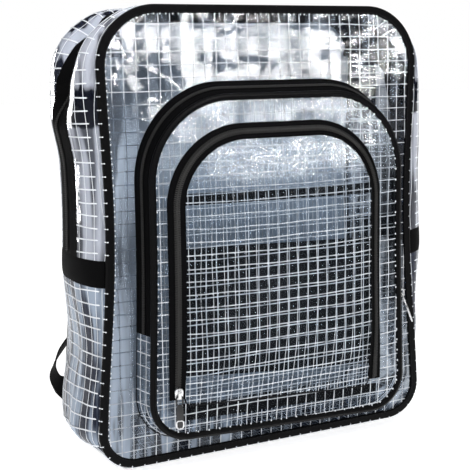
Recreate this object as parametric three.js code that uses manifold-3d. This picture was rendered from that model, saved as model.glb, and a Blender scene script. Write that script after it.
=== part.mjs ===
// Antistatic tool backpack: clear grid-reinforced sheet, black bound seams and black zips.
// Millimetres, +Z up. The front faces -Y and the bag stands on its flattened bottom.
// Before the last shift Y = 0 is the plane of the front seam and Z = 0 is the surface it stands on.

import * as THREE from 'three';
import { mergeVertices } from 'three/addons/utils/BufferGeometryUtils.js';
import Module from 'manifold-3d';

const wasm = await Module();
wasm.setup();

// Clearances and sheet thicknesses
const GAP = 0.3; // between two sewn pieces
const SEAT = 0.6; // under a piece that lies on a crowned panel
const SHEET = 1.2; // clear sheet
const TAPE = 1.4; // zip tape and black cloth

// The main body, measured to the outside of the front binding
const BAG = { width: 370, height: 457, depth: 122, lift: 11, taper: 0.048 };
const BAG_CORNER = { top: 58, bottom: 35 };
const SIDE_BOW = 9.4; // how far the sides draw in at mid height
const BINDING = { width: 9, thick: 5, ridge: 0.9 };
const FRONT_CROWN = 7;
const BACK_CROWN = 6;
const BACK_PAD = 6; // thickness of the padded back
const CROWN_POWER = 2.5;

// How far the gusset stands out beyond the seams at its fullest, by height on the two sides
const SIDE_BULGE = [
  { height: 0, left: 22, right: 19 },
  { height: 60, left: 17, right: 16 },
  { height: 120, left: 12, right: 28 },
  { height: 210, left: 25, right: 43.5 },
  { height: 310, left: 24, right: 40.5 },
  { height: 370, left: 31, right: 36.5 },
  { height: 470, left: 22, right: 20 },
];
const TOP_BULGE = 7;
const BOTTOM_BULGE = 18;
const CORNER_DRAW = 12; // how far its bottom corners are drawn in
const BULGE_POWER = 0.45; // a full section, steep at the seams

// The main zip runs over the top, from one cross band to the other
const MAIN_ZIP = { width: 50, place: 0.485, coil: 7, coilThick: 1.8 };
const CROSS_BAND = { height: 209, tall: 27, proud: 0.4 };
const MAIN_SLIDER_RISE = 3; // above the right cross band

// The zip is taut, so it cuts the top corners and sags across the top
const ZIP_SAG = [
  { height: 350, depth: 0 },
  { height: 390, depth: 20 },
  { height: 425, depth: 50 },
  { height: 446, depth: 58 },
  { height: 463, depth: 17 },
];
const SAG_REACH = 0.22; // how far it draws the gusset in, as a share of the depth

// The large front pocket
const MID = {
  halfWidth: 140.8, bottom: 43, top: 378.6, topRadius: 82, bottomRadius: 38,
  bow: 2, taper: 0.039, slant: -0.033,
};
const MID_PIPING = 3.5; // radius
const MID_STAND = 32; // from the front seam to the pocket's piping
const MID_CROWN = 9;
const MID_FLARE = { left: 7, right: 15, top: 14, bottom: 10 }; // how far its foot spreads beyond the piping
const MID_ZIP_END = 150; // height at which its zip stops on both sides
const MID_COIL = { width: 5, thick: 1.6 };
const MID_SLIDER_HEIGHT = 158;

// The small pocket on the large one's face
const SMALL = {
  halfWidth: 104, bottom: 74, top: 338, topRadius: 64, bottomRadius: 7,
  bow: 1, taper: 0.02, slant: -0.06, offset: -7,
};
const SMALL_ZIP = { width: 15.5, coil: 5.5, coilThick: 1.6 };
const SMALL_LIFT = { foot: 0.8, full: 7, rise: 70 };
const SMALL_CROWN = 6;
const SMALL_SLIDER_HEIGHT = 95;

// Black cloth on the inner side of the large pocket's face
const ORGANIZER_HALF = 112;
const ORGANIZER = [
  {
    name: 'organizer_panel', across: 10, up: 5,
    low: { height: 99, slant: -0.08 }, high: { height: 232, slant: -0.036 },
  },
  {
    name: 'organizer_band', across: 10, up: 1,
    low: { height: 275.5, slant: -0.01 }, high: { height: 286.5, slant: -0.01 },
  },
  {
    name: 'organizer_hem', across: 10, up: 1,
    low: { height: 59.5, slant: -0.027 }, high: { height: 73.5, slant: -0.06 },
  },
];

// Zip sliders and their hinged pulls
const SLIDER = { length: 12, width: 9, tail: 7, thick: 3.2 };
const BRIDGE = { length: 9, width: 3, hole: 2.8, wall: 1.3, chamfer: 1, root: 0.5 };
const PULL = { length: 34, width: 8.4, thick: 1.6, window: 4.6, windowLength: 8, bar: 1.6 };
const PULL_ROUND = 1.6;
const PULL_LEAN = { mid: 20, small: 0 }; // degrees out from hanging straight, as they rest
const BAR_SHIFT = 1.2; // the bar sits this far below the middle of the bridge
const SLIDER_REACH = 0.004; // half its length, as a share of the outline

// Shoulder straps: places along one strap, half of a mirrored pair
const PAD = { thick: 10, edge: 4, flat: 0.8 };
const PAD_ROUTE = [
  { x: 52, behind: 8.2, height: 436, half: 27 },
  { x: 55, behind: 17, height: 392, half: 29 },
  { x: 62, behind: 29, height: 335, half: 30 },
  { x: 74, behind: 36, height: 275, half: 29 },
  { x: 90, behind: 36, height: 218, half: 24 },
];
const WEBBING = { half: 12.5, thick: 1.8 };
const WEBBING_ROUTE = [
  { x: 101.4, behind: 35.6, height: 178, turn: 0 },
  { x: 107.4, behind: 34.8, height: 157, turn: 0 },
  { x: 134, behind: 30, height: 138, turn: 30 },
  { x: 166, behind: 26, height: 116, turn: 55 },
  { x: 185, behind: 23, height: 97, turn: 60 },
  { x: 193, behind: 20, height: 82, turn: 76 },
  { x: 193.8, behind: 16.5, height: 70, turn: 108 },
  { x: 188.4, behind: 12, height: 62, turn: 145 },
  { x: 179, behind: 4.1, height: 54.5, turn: 180 },
];
const LOCK = { width: 33, thick: 5, bar: 4, clear: 0.85 };

// Stations round the outlines
const BODY_STATIONS = 48;
const GUSSET_UPPER = { along: 32, across: 4 };
const GUSSET_LOWER = { along: 26, across: 10 };
const MID_STATIONS = 40;
const SMALL_STATIONS = 36;
const ARCH_STATIONS = 24;
const BELOW_STATIONS = 18;
const STRAP_STATIONS = { pad: 12, webbing: 28 };
const FINE = 480; // points in an outline's working polyline
const TURN_WEIGHT = 60; // a radian of turn counts as this many millimetres of edge

// Derived places
const FRONT_BOTTOM = BAG.lift + BINDING.width / 2;
const FRONT_TOP = BAG.lift + BAG.height - BINDING.width / 2;
const SEAM_HALF = (BAG.width - BINDING.width) / 2;
const GUSSET_START = BINDING.thick / 2 + GAP;
const GUSSET_END = BAG.depth - BINDING.thick / 2 - GAP;
const GUSSET_DEPTH = GUSSET_END - GUSSET_START;
const ZIP_FRONT = MAIN_ZIP.place - MAIN_ZIP.width / 2 / GUSSET_DEPTH;
const ZIP_BACK = MAIN_ZIP.place + MAIN_ZIP.width / 2 / GUSSET_DEPTH;
const SEAM_STEP = GAP / GUSSET_DEPTH;

const MATERIALS = {
  clear: material(0xc9d6e3, 0.15, 0, 0.45),
  pale: material(0xb4c3d6, 0.5, 0),
  black: material(0x0b0b0c, 0.75, 0),
  tape: material(0x101012, 0.8, 0),
  coil: material(0x17171a, 0.5, 0),
  metal: material(0xc4c4c6, 0.3, 1),
  plastic: material(0x0d0d0e, 0.45, 0),
};

function material(color, roughness, metalness, opacity = 1) {
  return new THREE.MeshStandardMaterial({
    color, roughness, metalness, opacity, transparent: opacity < 1,
  });
}

const mix = THREE.MathUtils.lerp;
const range = (count) => Array.from({ length: count }, (_, i) => i);
const span = (from, to, steps) => range(steps + 1).map((i) => mix(from, to, i / steps));
const point = (x, y, z) => new THREE.Vector3(x, y, z);

// Reads a column of a table that is sorted by height, smoothly between its rows.
function column(table, key, height) {
  const after = table.findIndex((row) => row.height >= height);
  if (after < 0) return table.at(-1)[key];
  if (after === 0) return table[0][key];
  const [low, high] = [table[after - 1], table[after]];
  const share = THREE.MathUtils.smoothstep(height, low.height, high.height);
  return mix(low[key], high[key], share);
}

// A rounded outline in the XZ plane, walked from its bottom middle towards +X and round.
// Its parameter runs from 0 to 1 and moves slowly through the corners.
class Outline {
  constructor(sizes) {
    const { halfWidth, bottom, top, topRadius, bottomRadius } = sizes;
    const { bow, taper = 0, slant = 0, offset = 0 } = sizes;
    const low = halfWidth - bottomRadius;
    const high = halfWidth - topRadius;
    const quarter = Math.PI / 2;
    const shape = new THREE.Shape();
    shape.moveTo(0, bottom);
    shape.lineTo(low, bottom);
    shape.absarc(low, bottom + bottomRadius, bottomRadius, -quarter, 0);
    shape.lineTo(halfWidth, top - topRadius);
    shape.absarc(high, top - topRadius, topRadius, 0, quarter);
    shape.lineTo(-high, top);
    shape.absarc(-high, top - topRadius, topRadius, quarter, 2 * quarter);
    shape.lineTo(-halfWidth, bottom + bottomRadius);
    shape.absarc(-low, bottom + bottomRadius, bottomRadius, 2 * quarter, 3 * quarter);
    shape.lineTo(0, bottom);
    this.middle = (bottom + top) / 2;
    this.points = shape.getSpacedPoints(FINE).slice(0, FINE).map(({ x, y }) => {
      const share = (y - bottom) / (top - bottom);
      const drawn = (bow / halfWidth) * Math.sin(Math.PI * share) ** 2;
      const wide = 1 - drawn + taper * (0.5 - share);
      return new THREE.Vector2(offset + x * wide, y + slant * x * (1 - share));
    });
    this.tangents = this.points.map((_, i) => this.near(i + 1).clone().sub(this.near(i - 1)).normalize());
    this.marks = [0];
    for (const i of range(FINE)) {
      const step = this.near(i + 1).distanceTo(this.points[i]);
      const turn = Math.abs(this.tangents[i].angleTo(this.tangents[(i + 1) % FINE]));
      this.marks.push(this.marks[i] + step + TURN_WEIGHT * turn);
    }
  }

  near(index) {
    return this.points[(index + FINE) % FINE];
  }

  // The place at a parameter, with its outward direction.
  at(parameter) {
    const mark = THREE.MathUtils.euclideanModulo(parameter, 1) * this.marks[FINE];
    const next = Math.max(1, this.marks.findIndex((value) => value >= mark));
    const share = (mark - this.marks[next - 1]) / (this.marks[next] - this.marks[next - 1]);
    const place = this.points[next - 1].clone().lerp(this.near(next), share);
    const along = this.tangents[next - 1].clone().lerp(this.tangents[next % FINE], share).normalize();
    return { x: place.x, z: place.y, nx: along.y, nz: -along.x };
  }

  // The parameter at which the +X side (or the -X side) reaches a height.
  atHeight(height, side) {
    const crossing = range(FINE).find((i) => {
      const [here, next] = [this.points[i], this.near(i + 1)];
      return here.x * side > 0 && (here.y - height) * (next.y - height) <= 0 && here.y !== next.y;
    });
    const [here, next] = [this.points[crossing], this.near(crossing + 1)];
    const share = (height - here.y) / (next.y - here.y);
    return mix(this.marks[crossing], this.marks[crossing + 1], share) / this.marks[FINE];
  }
}

// A geometry from points and faces, turned right side out.
function geometryFrom(points, faces) {
  const geometry = new THREE.BufferGeometry().setFromPoints(points);
  const volume = range(faces.length / 3).reduce((sum, i) => {
    const [a, b, c] = [0, 1, 2].map((corner) => points[faces[3 * i + corner]]);
    return sum + a.dot(b.clone().cross(c));
  }, 0);
  geometry.setIndex(volume < 0 ? faces.slice().reverse() : faces);
  geometry.computeVertexNormals();
  return geometry;
}

// A closed solid through sections, each a row of outer points over a row of inner ones.
// Outer and inner facets are split along the same diagonals, so that layers nest.
function loft(sections, closed = false) {
  const rows = sections[0].outer.length;
  const around = 2 * rows;
  const points = sections.flatMap(({ outer, inner }) => [...outer, ...inner.slice().reverse()]);
  const faces = [];
  const last = sections.length - 1;
  for (const i of range(closed ? last + 1 : last)) {
    const here = i * around;
    const next = ((i + 1) % (last + 1)) * around;
    for (const j of range(around)) {
      const k = (j + 1) % around;
      if (j < rows) faces.push(here + j, next + j, next + k, here + j, next + k, here + k);
      else faces.push(here + j, next + j, here + k, next + j, next + k, here + k);
    }
  }
  if (!closed) {
    const end = last * around;
    for (const j of range(rows - 1)) {
      const [a, b, c, d] = [j, j + 1, around - 2 - j, around - 1 - j];
      faces.push(a, b, c, a, c, d);
      faces.push(end + a, end + c, end + b, end + a, end + d, end + c);
    }
  }
  return geometryFrom(points, faces);
}

// A crowned sheet inside an outline, made of rings that shrink towards the middle.
class Panel {
  constructor({ outline, inset, stations, rings, plane, facing, crown, wall }) {
    Object.assign(this, { rings, plane, facing, crown, wall, middle: outline.middle });
    this.edge = range(stations).map((i) => {
      const { x, z, nx, nz } = outline.at(i / stations);
      return new THREE.Vector2(x - inset * nx, z - inset * nz);
    });
  }

  // How far a place lies from the middle, 1 at the edge.
  fraction(x, z) {
    const [px, pz] = [x, z - this.middle];
    for (const i of range(this.edge.length)) {
      const a = this.edge[i];
      const b = this.edge[(i + 1) % this.edge.length];
      const [az, bz] = [a.y - this.middle, b.y - this.middle];
      const area = a.x * bz - b.x * az;
      const [first, second] = [(px * bz - b.x * pz) / area, (a.x * pz - px * az) / area];
      if (first >= -1e-9 && second >= -1e-9) return first + second;
    }
    return 0;
  }

  // The crown, straight between two rings as the facets are.
  rise(fraction) {
    const marks = [0, ...this.rings];
    const next = Math.max(1, marks.findIndex((ring) => ring >= fraction - 1e-9));
    const share = (fraction - marks[next - 1]) / (marks[next] - marks[next - 1]);
    const height = (ring) => this.crown * (1 - ring ** CROWN_POWER);
    return mix(height(marks[next - 1]), height(marks[next]), share);
  }

  // The outer face's Y over a place in the XZ plane.
  surface(x, z) {
    return this.plane + this.facing * this.rise(this.fraction(x, z));
  }

  geometry(outerFace = (x, z) => this.surface(x, z)) {
    const count = this.edge.length;
    const points = [];
    const faces = [];
    const layers = [
      { first: 0, sink: () => 0 },
      { first: 1 + count * this.rings.length, sink: this.wall },
    ];
    for (const { sink } of layers) {
      const place = (x, z, ring) => point(x, outerFace(x, z, ring) - this.facing * sink(ring), z);
      points.push(place(0, this.middle, 0));
      for (const ring of this.rings) {
        points.push(...this.edge.map(({ x, y }) => place(x * ring, mix(this.middle, y, ring), ring)));
      }
    }
    layers.forEach(({ first }, layer) => {
      const face = (a, b, c) => faces.push(...(layer ? [a, c, b] : [a, b, c]));
      const vertex = (ring, i) => first + 1 + ring * count + (i % count);
      for (const i of range(count)) {
        face(first, vertex(0, i), vertex(0, i + 1));
        for (const ring of range(this.rings.length - 1)) {
          face(vertex(ring, i), vertex(ring + 1, i), vertex(ring + 1, i + 1));
          face(vertex(ring, i), vertex(ring + 1, i + 1), vertex(ring, i + 1));
        }
      }
    });
    const rim = (layer, i) => layers[layer].first + 1 + (this.rings.length - 1) * count + (i % count);
    for (const i of range(count)) {
      faces.push(rim(0, i), rim(1, i), rim(1, i + 1), rim(0, i), rim(1, i + 1), rim(0, i + 1));
    }
    return geometryFrom(points, faces);
  }
}

const bodyOutline = new Outline({
  halfWidth: SEAM_HALF,
  bottom: FRONT_BOTTOM,
  top: FRONT_TOP,
  topRadius: BAG_CORNER.top,
  bottomRadius: BAG_CORNER.bottom,
  bow: SIDE_BOW,
  taper: BAG.taper,
});
const midOutline = new Outline(MID);
const smallOutline = new Outline(SMALL);

const frontPanel = new Panel({
  outline: bodyOutline,
  inset: BINDING.width / 2 + GAP,
  stations: BODY_STATIONS,
  rings: [0.3, 0.58, 0.8, 0.93, 1],
  plane: -SHEET / 2,
  facing: -1,
  crown: FRONT_CROWN,
  wall: () => SHEET,
});
const backPanel = new Panel({
  outline: bodyOutline,
  inset: BINDING.width / 2 + GAP,
  stations: BODY_STATIONS,
  rings: [0.4, 0.75, 0.94, 1],
  plane: BAG.depth + SHEET,
  facing: 1,
  crown: BACK_CROWN,
  wall: (ring) => (ring < 1 ? BACK_PAD : 2 * SHEET),
});
const midPanel = new Panel({
  outline: midOutline,
  inset: MID_PIPING + GAP,
  stations: MID_STATIONS,
  rings: [0.3, 0.58, 0.8, 0.93, 1],
  plane: -MID_STAND - SHEET / 2,
  facing: -1,
  crown: MID_CROWN,
  wall: () => SHEET,
});
const smallPanel = new Panel({
  outline: smallOutline,
  inset: GAP,
  stations: SMALL_STATIONS,
  rings: [0.35, 0.7, 0.9, 1],
  plane: 0,
  facing: -1,
  crown: SMALL_CROWN,
  wall: () => SHEET,
});

// How far the gusset stands out from the seam line, at a share of its depth.
function gussetBulge({ x, z, nx, nz }, share) {
  const sides = column(SIDE_BULGE, x < 0 ? 'left' : 'right', z);
  const ends = nz > 0 ? TOP_BULGE : BOTTOM_BULGE;
  const corner = nz < 0 ? CORNER_DRAW * (2 * nx * nz) ** 2 : 0;
  const full = nx * nx * sides + nz * nz * ends - corner;
  const off = (share - MAIN_ZIP.place) / SAG_REACH;
  const drawn = column(ZIP_SAG, 'depth', z) * Math.exp(-off * off);
  const round = Math.max(4 * share * (1 - share), 0) ** BULGE_POWER;
  return (full - drawn) * round;
}

// A point of the gusset, lifted off its face; the bottom is flattened where it stands.
function gussetPoint(parameter, share, lift) {
  const place = bodyOutline.at(parameter);
  const out = gussetBulge(place, share) + lift;
  const z = Math.max(place.z + out * place.nz, -Math.min(lift, 0));
  return point(place.x + out * place.nx, mix(GUSSET_START, GUSSET_END, share), z);
}

function gussetStrip(parameters, shares, outer, inner) {
  return loft(parameters.map((parameter) => ({
    outer: shares.map((share) => gussetPoint(parameter, share, outer)),
    inner: shares.map((share) => gussetPoint(parameter, share, inner)),
  })));
}

function bindingRing(plane) {
  const half = BINDING.width / 2;
  const flat = BINDING.thick / 2 - BINDING.ridge;
  return loft(range(BODY_STATIONS).map((i) => {
    const { x, z, nx, nz } = bodyOutline.at(i / BODY_STATIONS);
    const at = (out, y) => point(x + out * nx, plane + y, z + out * nz);
    return {
      outer: [at(-half, -flat), at(0, -BINDING.thick / 2), at(half, -flat)],
      inner: [at(-half, flat), at(0, BINDING.thick / 2), at(half, flat)],
    };
  }), true);
}

function mainBody() {
  const { height: bandHeight, tall, proud } = CROSS_BAND;
  const heights = [-1, 1].map((way) => bandHeight + (way * tall) / 2);
  const [rightLow, rightHigh] = heights.map((height) => bodyOutline.atHeight(height, 1));
  const [leftLow, leftHigh] = heights.map((height) => bodyOutline.atHeight(height, -1));
  const step = (rightHigh - rightLow) * (GAP / tall);
  const upper = span(rightHigh + step, leftHigh - step, GUSSET_UPPER.along);
  const lower = span(leftLow + step, 1 + rightLow - step, GUSSET_LOWER.along);
  const across = span(0, 1, GUSSET_LOWER.across);
  const frontShares = span(0, ZIP_FRONT - SEAM_STEP, GUSSET_UPPER.across);
  const backShares = span(ZIP_BACK + SEAM_STEP, 1, GUSSET_UPPER.across);
  const coilHalf = MAIN_ZIP.coil / 2 / GUSSET_DEPTH;
  const coilShares = [MAIN_ZIP.place - coilHalf, MAIN_ZIP.place + coilHalf];
  const tapeShares = [ZIP_FRONT, ...coilShares, ZIP_BACK];
  const coilTop = GAP + MAIN_ZIP.coilThick;
  part('front_panel', frontPanel.geometry(), 'clear');
  part('back_panel', backPanel.geometry(), 'pale');
  part('gusset_upper_front', gussetStrip(upper, frontShares, 0, -SHEET), 'clear');
  part('gusset_upper_back', gussetStrip(upper, backShares, 0, -SHEET), 'clear');
  part('gusset_lower', gussetStrip(lower, across, 0, -SHEET), 'clear');
  part('main_zip_tape', gussetStrip(upper, tapeShares, 0, -TAPE), 'tape');
  part('main_zip_coil', gussetStrip(upper, coilShares, coilTop, GAP), 'coil');
  part('cross_band_right', gussetStrip(span(rightLow, rightHigh, 2), across, proud, -TAPE), 'black');
  part('cross_band_left', gussetStrip(span(leftHigh, leftLow, 2), across, proud, -TAPE), 'black');
  part('front_binding', bindingRing(0), 'black');
  part('back_binding', bindingRing(BAG.depth), 'black');
  part('main_zip_slider', plainSlider(heights[1] + MAIN_SLIDER_RISE, coilTop + SEAT), 'metal');
}

// The hidden slider of the main zip: one plain block on the coil.
function plainSlider(bottom, lift) {
  const ends = [bottom, bottom + SLIDER.length];
  const stops = ends.map((height) => bodyOutline.atHeight(height, 1));
  const half = SLIDER.width / 2 / GUSSET_DEPTH;
  const shares = span(MAIN_ZIP.place - half, MAIN_ZIP.place + half, 2);
  return gussetStrip(stops, shares, lift + SLIDER.thick, lift);
}

// A point of the large pocket's zip band: share 0 is its foot on the front panel, 1 its piping.
function midBandPoint(parameter, share, lift) {
  const { x, z, nx, nz } = midOutline.at(parameter);
  const ends = nz > 0 ? MID_FLARE.top : MID_FLARE.bottom;
  const side = nx > 0 ? MID_FLARE.right : MID_FLARE.left;
  const flare = nx * nx * side + nz * nz * ends;
  const out = flare * (1 - share) + lift;
  const [px, pz] = [x + out * nx, z + out * nz];
  const foot = frontPanel.surface(px, pz) - SEAT;
  const head = -MID_STAND + MID_PIPING + GAP;
  return point(px, mix(foot, head, share), pz);
}

function midBand(parameters, shares, outer, inner) {
  return loft(parameters.map((parameter) => ({
    outer: shares.map((share) => midBandPoint(parameter, share, outer)),
    inner: shares.map((share) => midBandPoint(parameter, share, inner)),
  })));
}

function middlePocket() {
  const right = midOutline.atHeight(MID_ZIP_END, 1);
  const left = midOutline.atHeight(MID_ZIP_END, -1);
  const step = midOutline.atHeight(MID_ZIP_END + GAP, 1) - right;
  const arch = span(right, left, ARCH_STATIONS);
  const below = span(left + step, 1 + right - step, BELOW_STATIONS);
  const half = TAPE / 2;
  const coilHalf = MID_COIL.width / 2 / MID_STAND;
  const coilShares = [0.5 - coilHalf, 0.5 + coilHalf];
  const coilTop = half + GAP + MID_COIL.thick;
  part('mid_pocket_panel', midPanel.geometry(), 'clear');
  part('mid_pocket_piping', pipingRing(), 'black');
  part('mid_pocket_zip_tape', midBand(arch, [0, ...coilShares, 1], half, -half), 'tape');
  part('mid_pocket_zip_coil', midBand(arch, coilShares, coilTop, half + GAP), 'coil');
  part('mid_pocket_gusset', midBand(below, span(0, 1, 2), SHEET / 2, -SHEET / 2), 'clear');
  const sliderAt = midOutline.atHeight(MID_SLIDER_HEIGHT, 1);
  zipSlider('mid', midBandPoint, sliderAt, coilTop + SEAT, point(1, 0, 0), 'metal');
}

function pipingRing() {
  const corners = [150, 90, 30].map((angle) => THREE.MathUtils.degToRad(angle));
  return loft(range(MID_STATIONS).map((i) => {
    const { x, z, nx, nz } = midOutline.at(i / MID_STATIONS);
    const at = (angle, way) => {
      const out = MID_PIPING * Math.cos(angle);
      return point(x + out * nx, -MID_STAND - way * MID_PIPING * Math.sin(angle), z + out * nz);
    };
    return {
      outer: corners.map((angle) => at(angle, 1)),
      inner: corners.map((angle) => at(angle, -1)),
    };
  }), true);
}

// How far the small pocket's rim stands off the large pocket's face at a height.
function smallLift(height) {
  const rise = THREE.MathUtils.smoothstep(height, SMALL.bottom, SMALL.bottom + SMALL_LIFT.rise);
  return mix(SMALL_LIFT.foot, SMALL_LIFT.full, rise);
}

function smallBandPoint(parameter, share, lift) {
  const { x, z, nx, nz } = smallOutline.at(parameter);
  const out = GAP + share * (SMALL_ZIP.width - GAP);
  const [px, pz] = [x + out * nx, z + out * nz];
  const rim = mix(smallLift(z), SMALL_LIFT.foot, share);
  return point(px, midPanel.surface(px, pz) - rim - lift, pz);
}

function smallBand(parameters, shares, outer, inner) {
  return loft(parameters.map((parameter) => ({
    outer: shares.map((share) => smallBandPoint(parameter, share, outer)),
    inner: shares.map((share) => smallBandPoint(parameter, share, inner)),
  })));
}

function smallPocket() {
  const [right, left] = [1, -1].map((side) => {
    const hem = SMALL.bottom + side * SMALL.slant * SMALL.halfWidth;
    return smallOutline.atHeight(hem + SMALL.bottomRadius, side);
  });
  const arch = span(right, left, ARCH_STATIONS);
  const coilHalf = SMALL_ZIP.coil / 2 / SMALL_ZIP.width;
  const coilShares = [0.5 - coilHalf, 0.5 + coilHalf];
  const coilTop = TAPE + GAP + SMALL_ZIP.coilThick;
  const rim = (x, z) => midPanel.surface(x, z) - smallLift(z) - SHEET;
  const face = (x, z, ring) => rim(x, z) - smallPanel.rise(ring);
  part('small_pocket_panel', smallPanel.geometry(face), 'clear');
  part('small_pocket_zip_tape', smallBand(arch, [0, ...coilShares, 1], TAPE, 0), 'tape');
  part('small_pocket_zip_coil', smallBand(arch, coilShares, coilTop, TAPE + GAP), 'coil');
  const sliderAt = smallOutline.atHeight(SMALL_SLIDER_HEIGHT, -1);
  zipSlider('small', smallBandPoint, sliderAt, coilTop + SEAT, point(0, -1, 0), 'plastic');
}

function organizer() {
  for (const { name, across, up, low, high } of ORGANIZER) {
    const face = (x, share, sink) => {
      const z = mix(low.height + low.slant * x, high.height + high.slant * x, share);
      return point(x, midPanel.surface(x, z) + SHEET + SEAT + sink, z);
    };
    const shares = span(0, 1, up);
    part(name, loft(span(-ORGANIZER_HALF, ORGANIZER_HALF, across).map((x) => ({
      outer: shares.map((share) => face(x, share, 0)),
      inner: shares.map((share) => face(x, share, TAPE)),
    }))), 'black');
  }
}

function toSolid(geometry) {
  const bare = geometry.clone();
  bare.deleteAttribute('normal');
  bare.deleteAttribute('uv');
  const merged = mergeVertices(bare, 1e-4);
  return new wasm.Manifold(new wasm.Mesh({
    numProp: 3,
    vertProperties: new Float32Array(merged.attributes.position.array),
    triVerts: new Uint32Array(merged.index.array),
  }));
}

function fromSolid(solid) {
  const { vertProperties, triVerts } = solid.getMesh();
  const geometry = new THREE.BufferGeometry();
  geometry.setAttribute('position', new THREE.BufferAttribute(vertProperties, 3));
  geometry.setIndex(new THREE.BufferAttribute(triVerts, 1));
  geometry.computeVertexNormals();
  return geometry;
}

// The slider in its own frame: X across, Y up along the zip, Z away from the tape.
function sliderGeometry() {
  const { length, width, tail, thick } = SLIDER;
  const outline = new THREE.Shape([
    new THREE.Vector2(-tail / 2, -length / 2),
    new THREE.Vector2(tail / 2, -length / 2),
    new THREE.Vector2(width / 2, length / 4),
    new THREE.Vector2(width / 4, length / 2),
    new THREE.Vector2(-width / 4, length / 2),
    new THREE.Vector2(-width / 2, length / 4),
  ]);
  const body = new THREE.ExtrudeGeometry(outline, { depth: thick, bevelEnabled: false });
  const { hole, wall, chamfer, root } = BRIDGE;
  const half = BRIDGE.length / 2;
  const top = hole + wall;
  const arch = new THREE.Shape([
    new THREE.Vector2(-half, -root),
    new THREE.Vector2(half, -root),
    new THREE.Vector2(half, top - chamfer),
    new THREE.Vector2(half - chamfer, top),
    new THREE.Vector2(chamfer - half, top),
    new THREE.Vector2(-half, top - chamfer),
  ]);
  const inside = half - wall;
  arch.holes.push(new THREE.Path([
    new THREE.Vector2(-inside, 0),
    new THREE.Vector2(-inside, hole),
    new THREE.Vector2(inside, hole),
    new THREE.Vector2(inside, 0),
  ]));
  const bridge = new THREE.ExtrudeGeometry(arch, { depth: BRIDGE.width, bevelEnabled: false });
  bridge.translate(0, 0, -BRIDGE.width / 2);
  bridge.applyMatrix4(new THREE.Matrix4().makeBasis(point(0, 1, 0), point(0, 0, 1), point(1, 0, 0)));
  bridge.translate(0, 0, thick);
  return fromSolid(toSolid(body).add(toSolid(bridge)));
}

// The pull in its own frame: its bar on the X axis, the tab hanging towards -Y.
function pullGeometry() {
  const { length, width, thick, window: gap, windowLength, bar } = PULL;
  const half = width / 2;
  const top = bar / 2;
  const end = top - length;
  const tab = new THREE.Shape();
  tab.moveTo(-half, top);
  tab.lineTo(-half, end + PULL_ROUND);
  tab.lineTo(PULL_ROUND - half, end);
  tab.lineTo(half - PULL_ROUND, end);
  tab.lineTo(half, end + PULL_ROUND);
  tab.lineTo(half, top);
  const slot = -top - windowLength;
  tab.holes.push(new THREE.Path([
    new THREE.Vector2(-gap / 2, -top),
    new THREE.Vector2(gap / 2, -top),
    new THREE.Vector2(gap / 2, slot),
    new THREE.Vector2(-gap / 2, slot),
  ]));
  const geometry = new THREE.ExtrudeGeometry(tab, { depth: thick, bevelEnabled: false });
  return geometry.translate(0, 0, -thick / 2);
}

// A slider seated on a zip band that runs upwards, with its pull hanging straight down from it.
function zipSlider(pocket, bandPoint, parameter, lift, facing, pullFinish) {
  const ends = [-1, 1].map((way) => bandPoint(parameter + way * SLIDER_REACH, 0.5, lift));
  const [low, high] = ends.sort((a, b) => a.z - b.z);
  const up = high.clone().sub(low).normalize();
  const outward = bandPoint(parameter, 0, lift).sub(bandPoint(parameter, 1, lift)).cross(up).normalize();
  if (outward.dot(facing) < 0) outward.negate();
  const across = up.clone().cross(outward);
  const slider = mesh(`${pocket}_zip_slider`, sliderGeometry(), 'metal');
  place(slider, across, up, low.clone().lerp(high, 0.5));
  const pull = mesh(`${pocket}_zip_pull`, pullGeometry(), pullFinish);
  const bar = slider.position.clone().addScaledVector(up, -BAR_SHIFT);
  bar.addScaledVector(outward, SLIDER.thick + BRIDGE.hole / 2);
  const level = across.setZ(0).normalize();
  const ahead = level.clone().cross(point(0, 0, 1));
  const lean = THREE.MathUtils.degToRad(PULL_LEAN[pocket]);
  const hang = point(0, 0, Math.cos(lean)).addScaledVector(ahead, -Math.sin(lean));
  place(pull, level, hang, bar);
}

// Puts a piece into the bag with its X and Y axes along two square directions.
function place(piece, xAxis, yAxis, position) {
  piece.matrix.makeBasis(xAxis, yAxis, xAxis.clone().cross(yAxis)).setPosition(position);
  piece.matrix.decompose(piece.position, piece.quaternion, piece.scale);
  bag.add(piece);
}

// A flat band swept through places, each with its half width and its turn about the route.
function strapSections(places, section) {
  return places.map(({ place, along, half, turn }) => {
    const level = point(0, 1, 0).cross(along).normalize();
    const face = along.clone().cross(level).normalize();
    const angle = THREE.MathUtils.degToRad(turn);
    const wide = level.clone().multiplyScalar(Math.cos(angle)).addScaledVector(face, Math.sin(angle));
    const thick = along.clone().cross(wide).normalize();
    const at = ([w, t]) => place.clone().addScaledVector(wide, w * half).addScaledVector(thick, t);
    return {
      outer: section.map(at),
      inner: section.map(([w, t]) => at([w, -t])),
    };
  });
}

// Places along a table of route points, mirrored to one side of the bag.
function routePlaces(table, side, steps, half) {
  const places = table.map(({ x, behind, height }) => point(side * x, BAG.depth + behind, height));
  const curve = new THREE.CatmullRomCurve3(places, false, 'centripetal');
  const read = (key, share) => {
    const spot = share * (table.length - 1);
    const low = Math.min(Math.floor(spot), table.length - 2);
    return mix(table[low][key], table[low + 1][key], spot - low);
  };
  return span(0, 1, steps).map((share) => ({
    place: curve.getPoint(share),
    along: curve.getTangent(share),
    half: half ?? read('half', share),
    turn: half ? side * read('turn', share) : 0,
  }));
}

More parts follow.
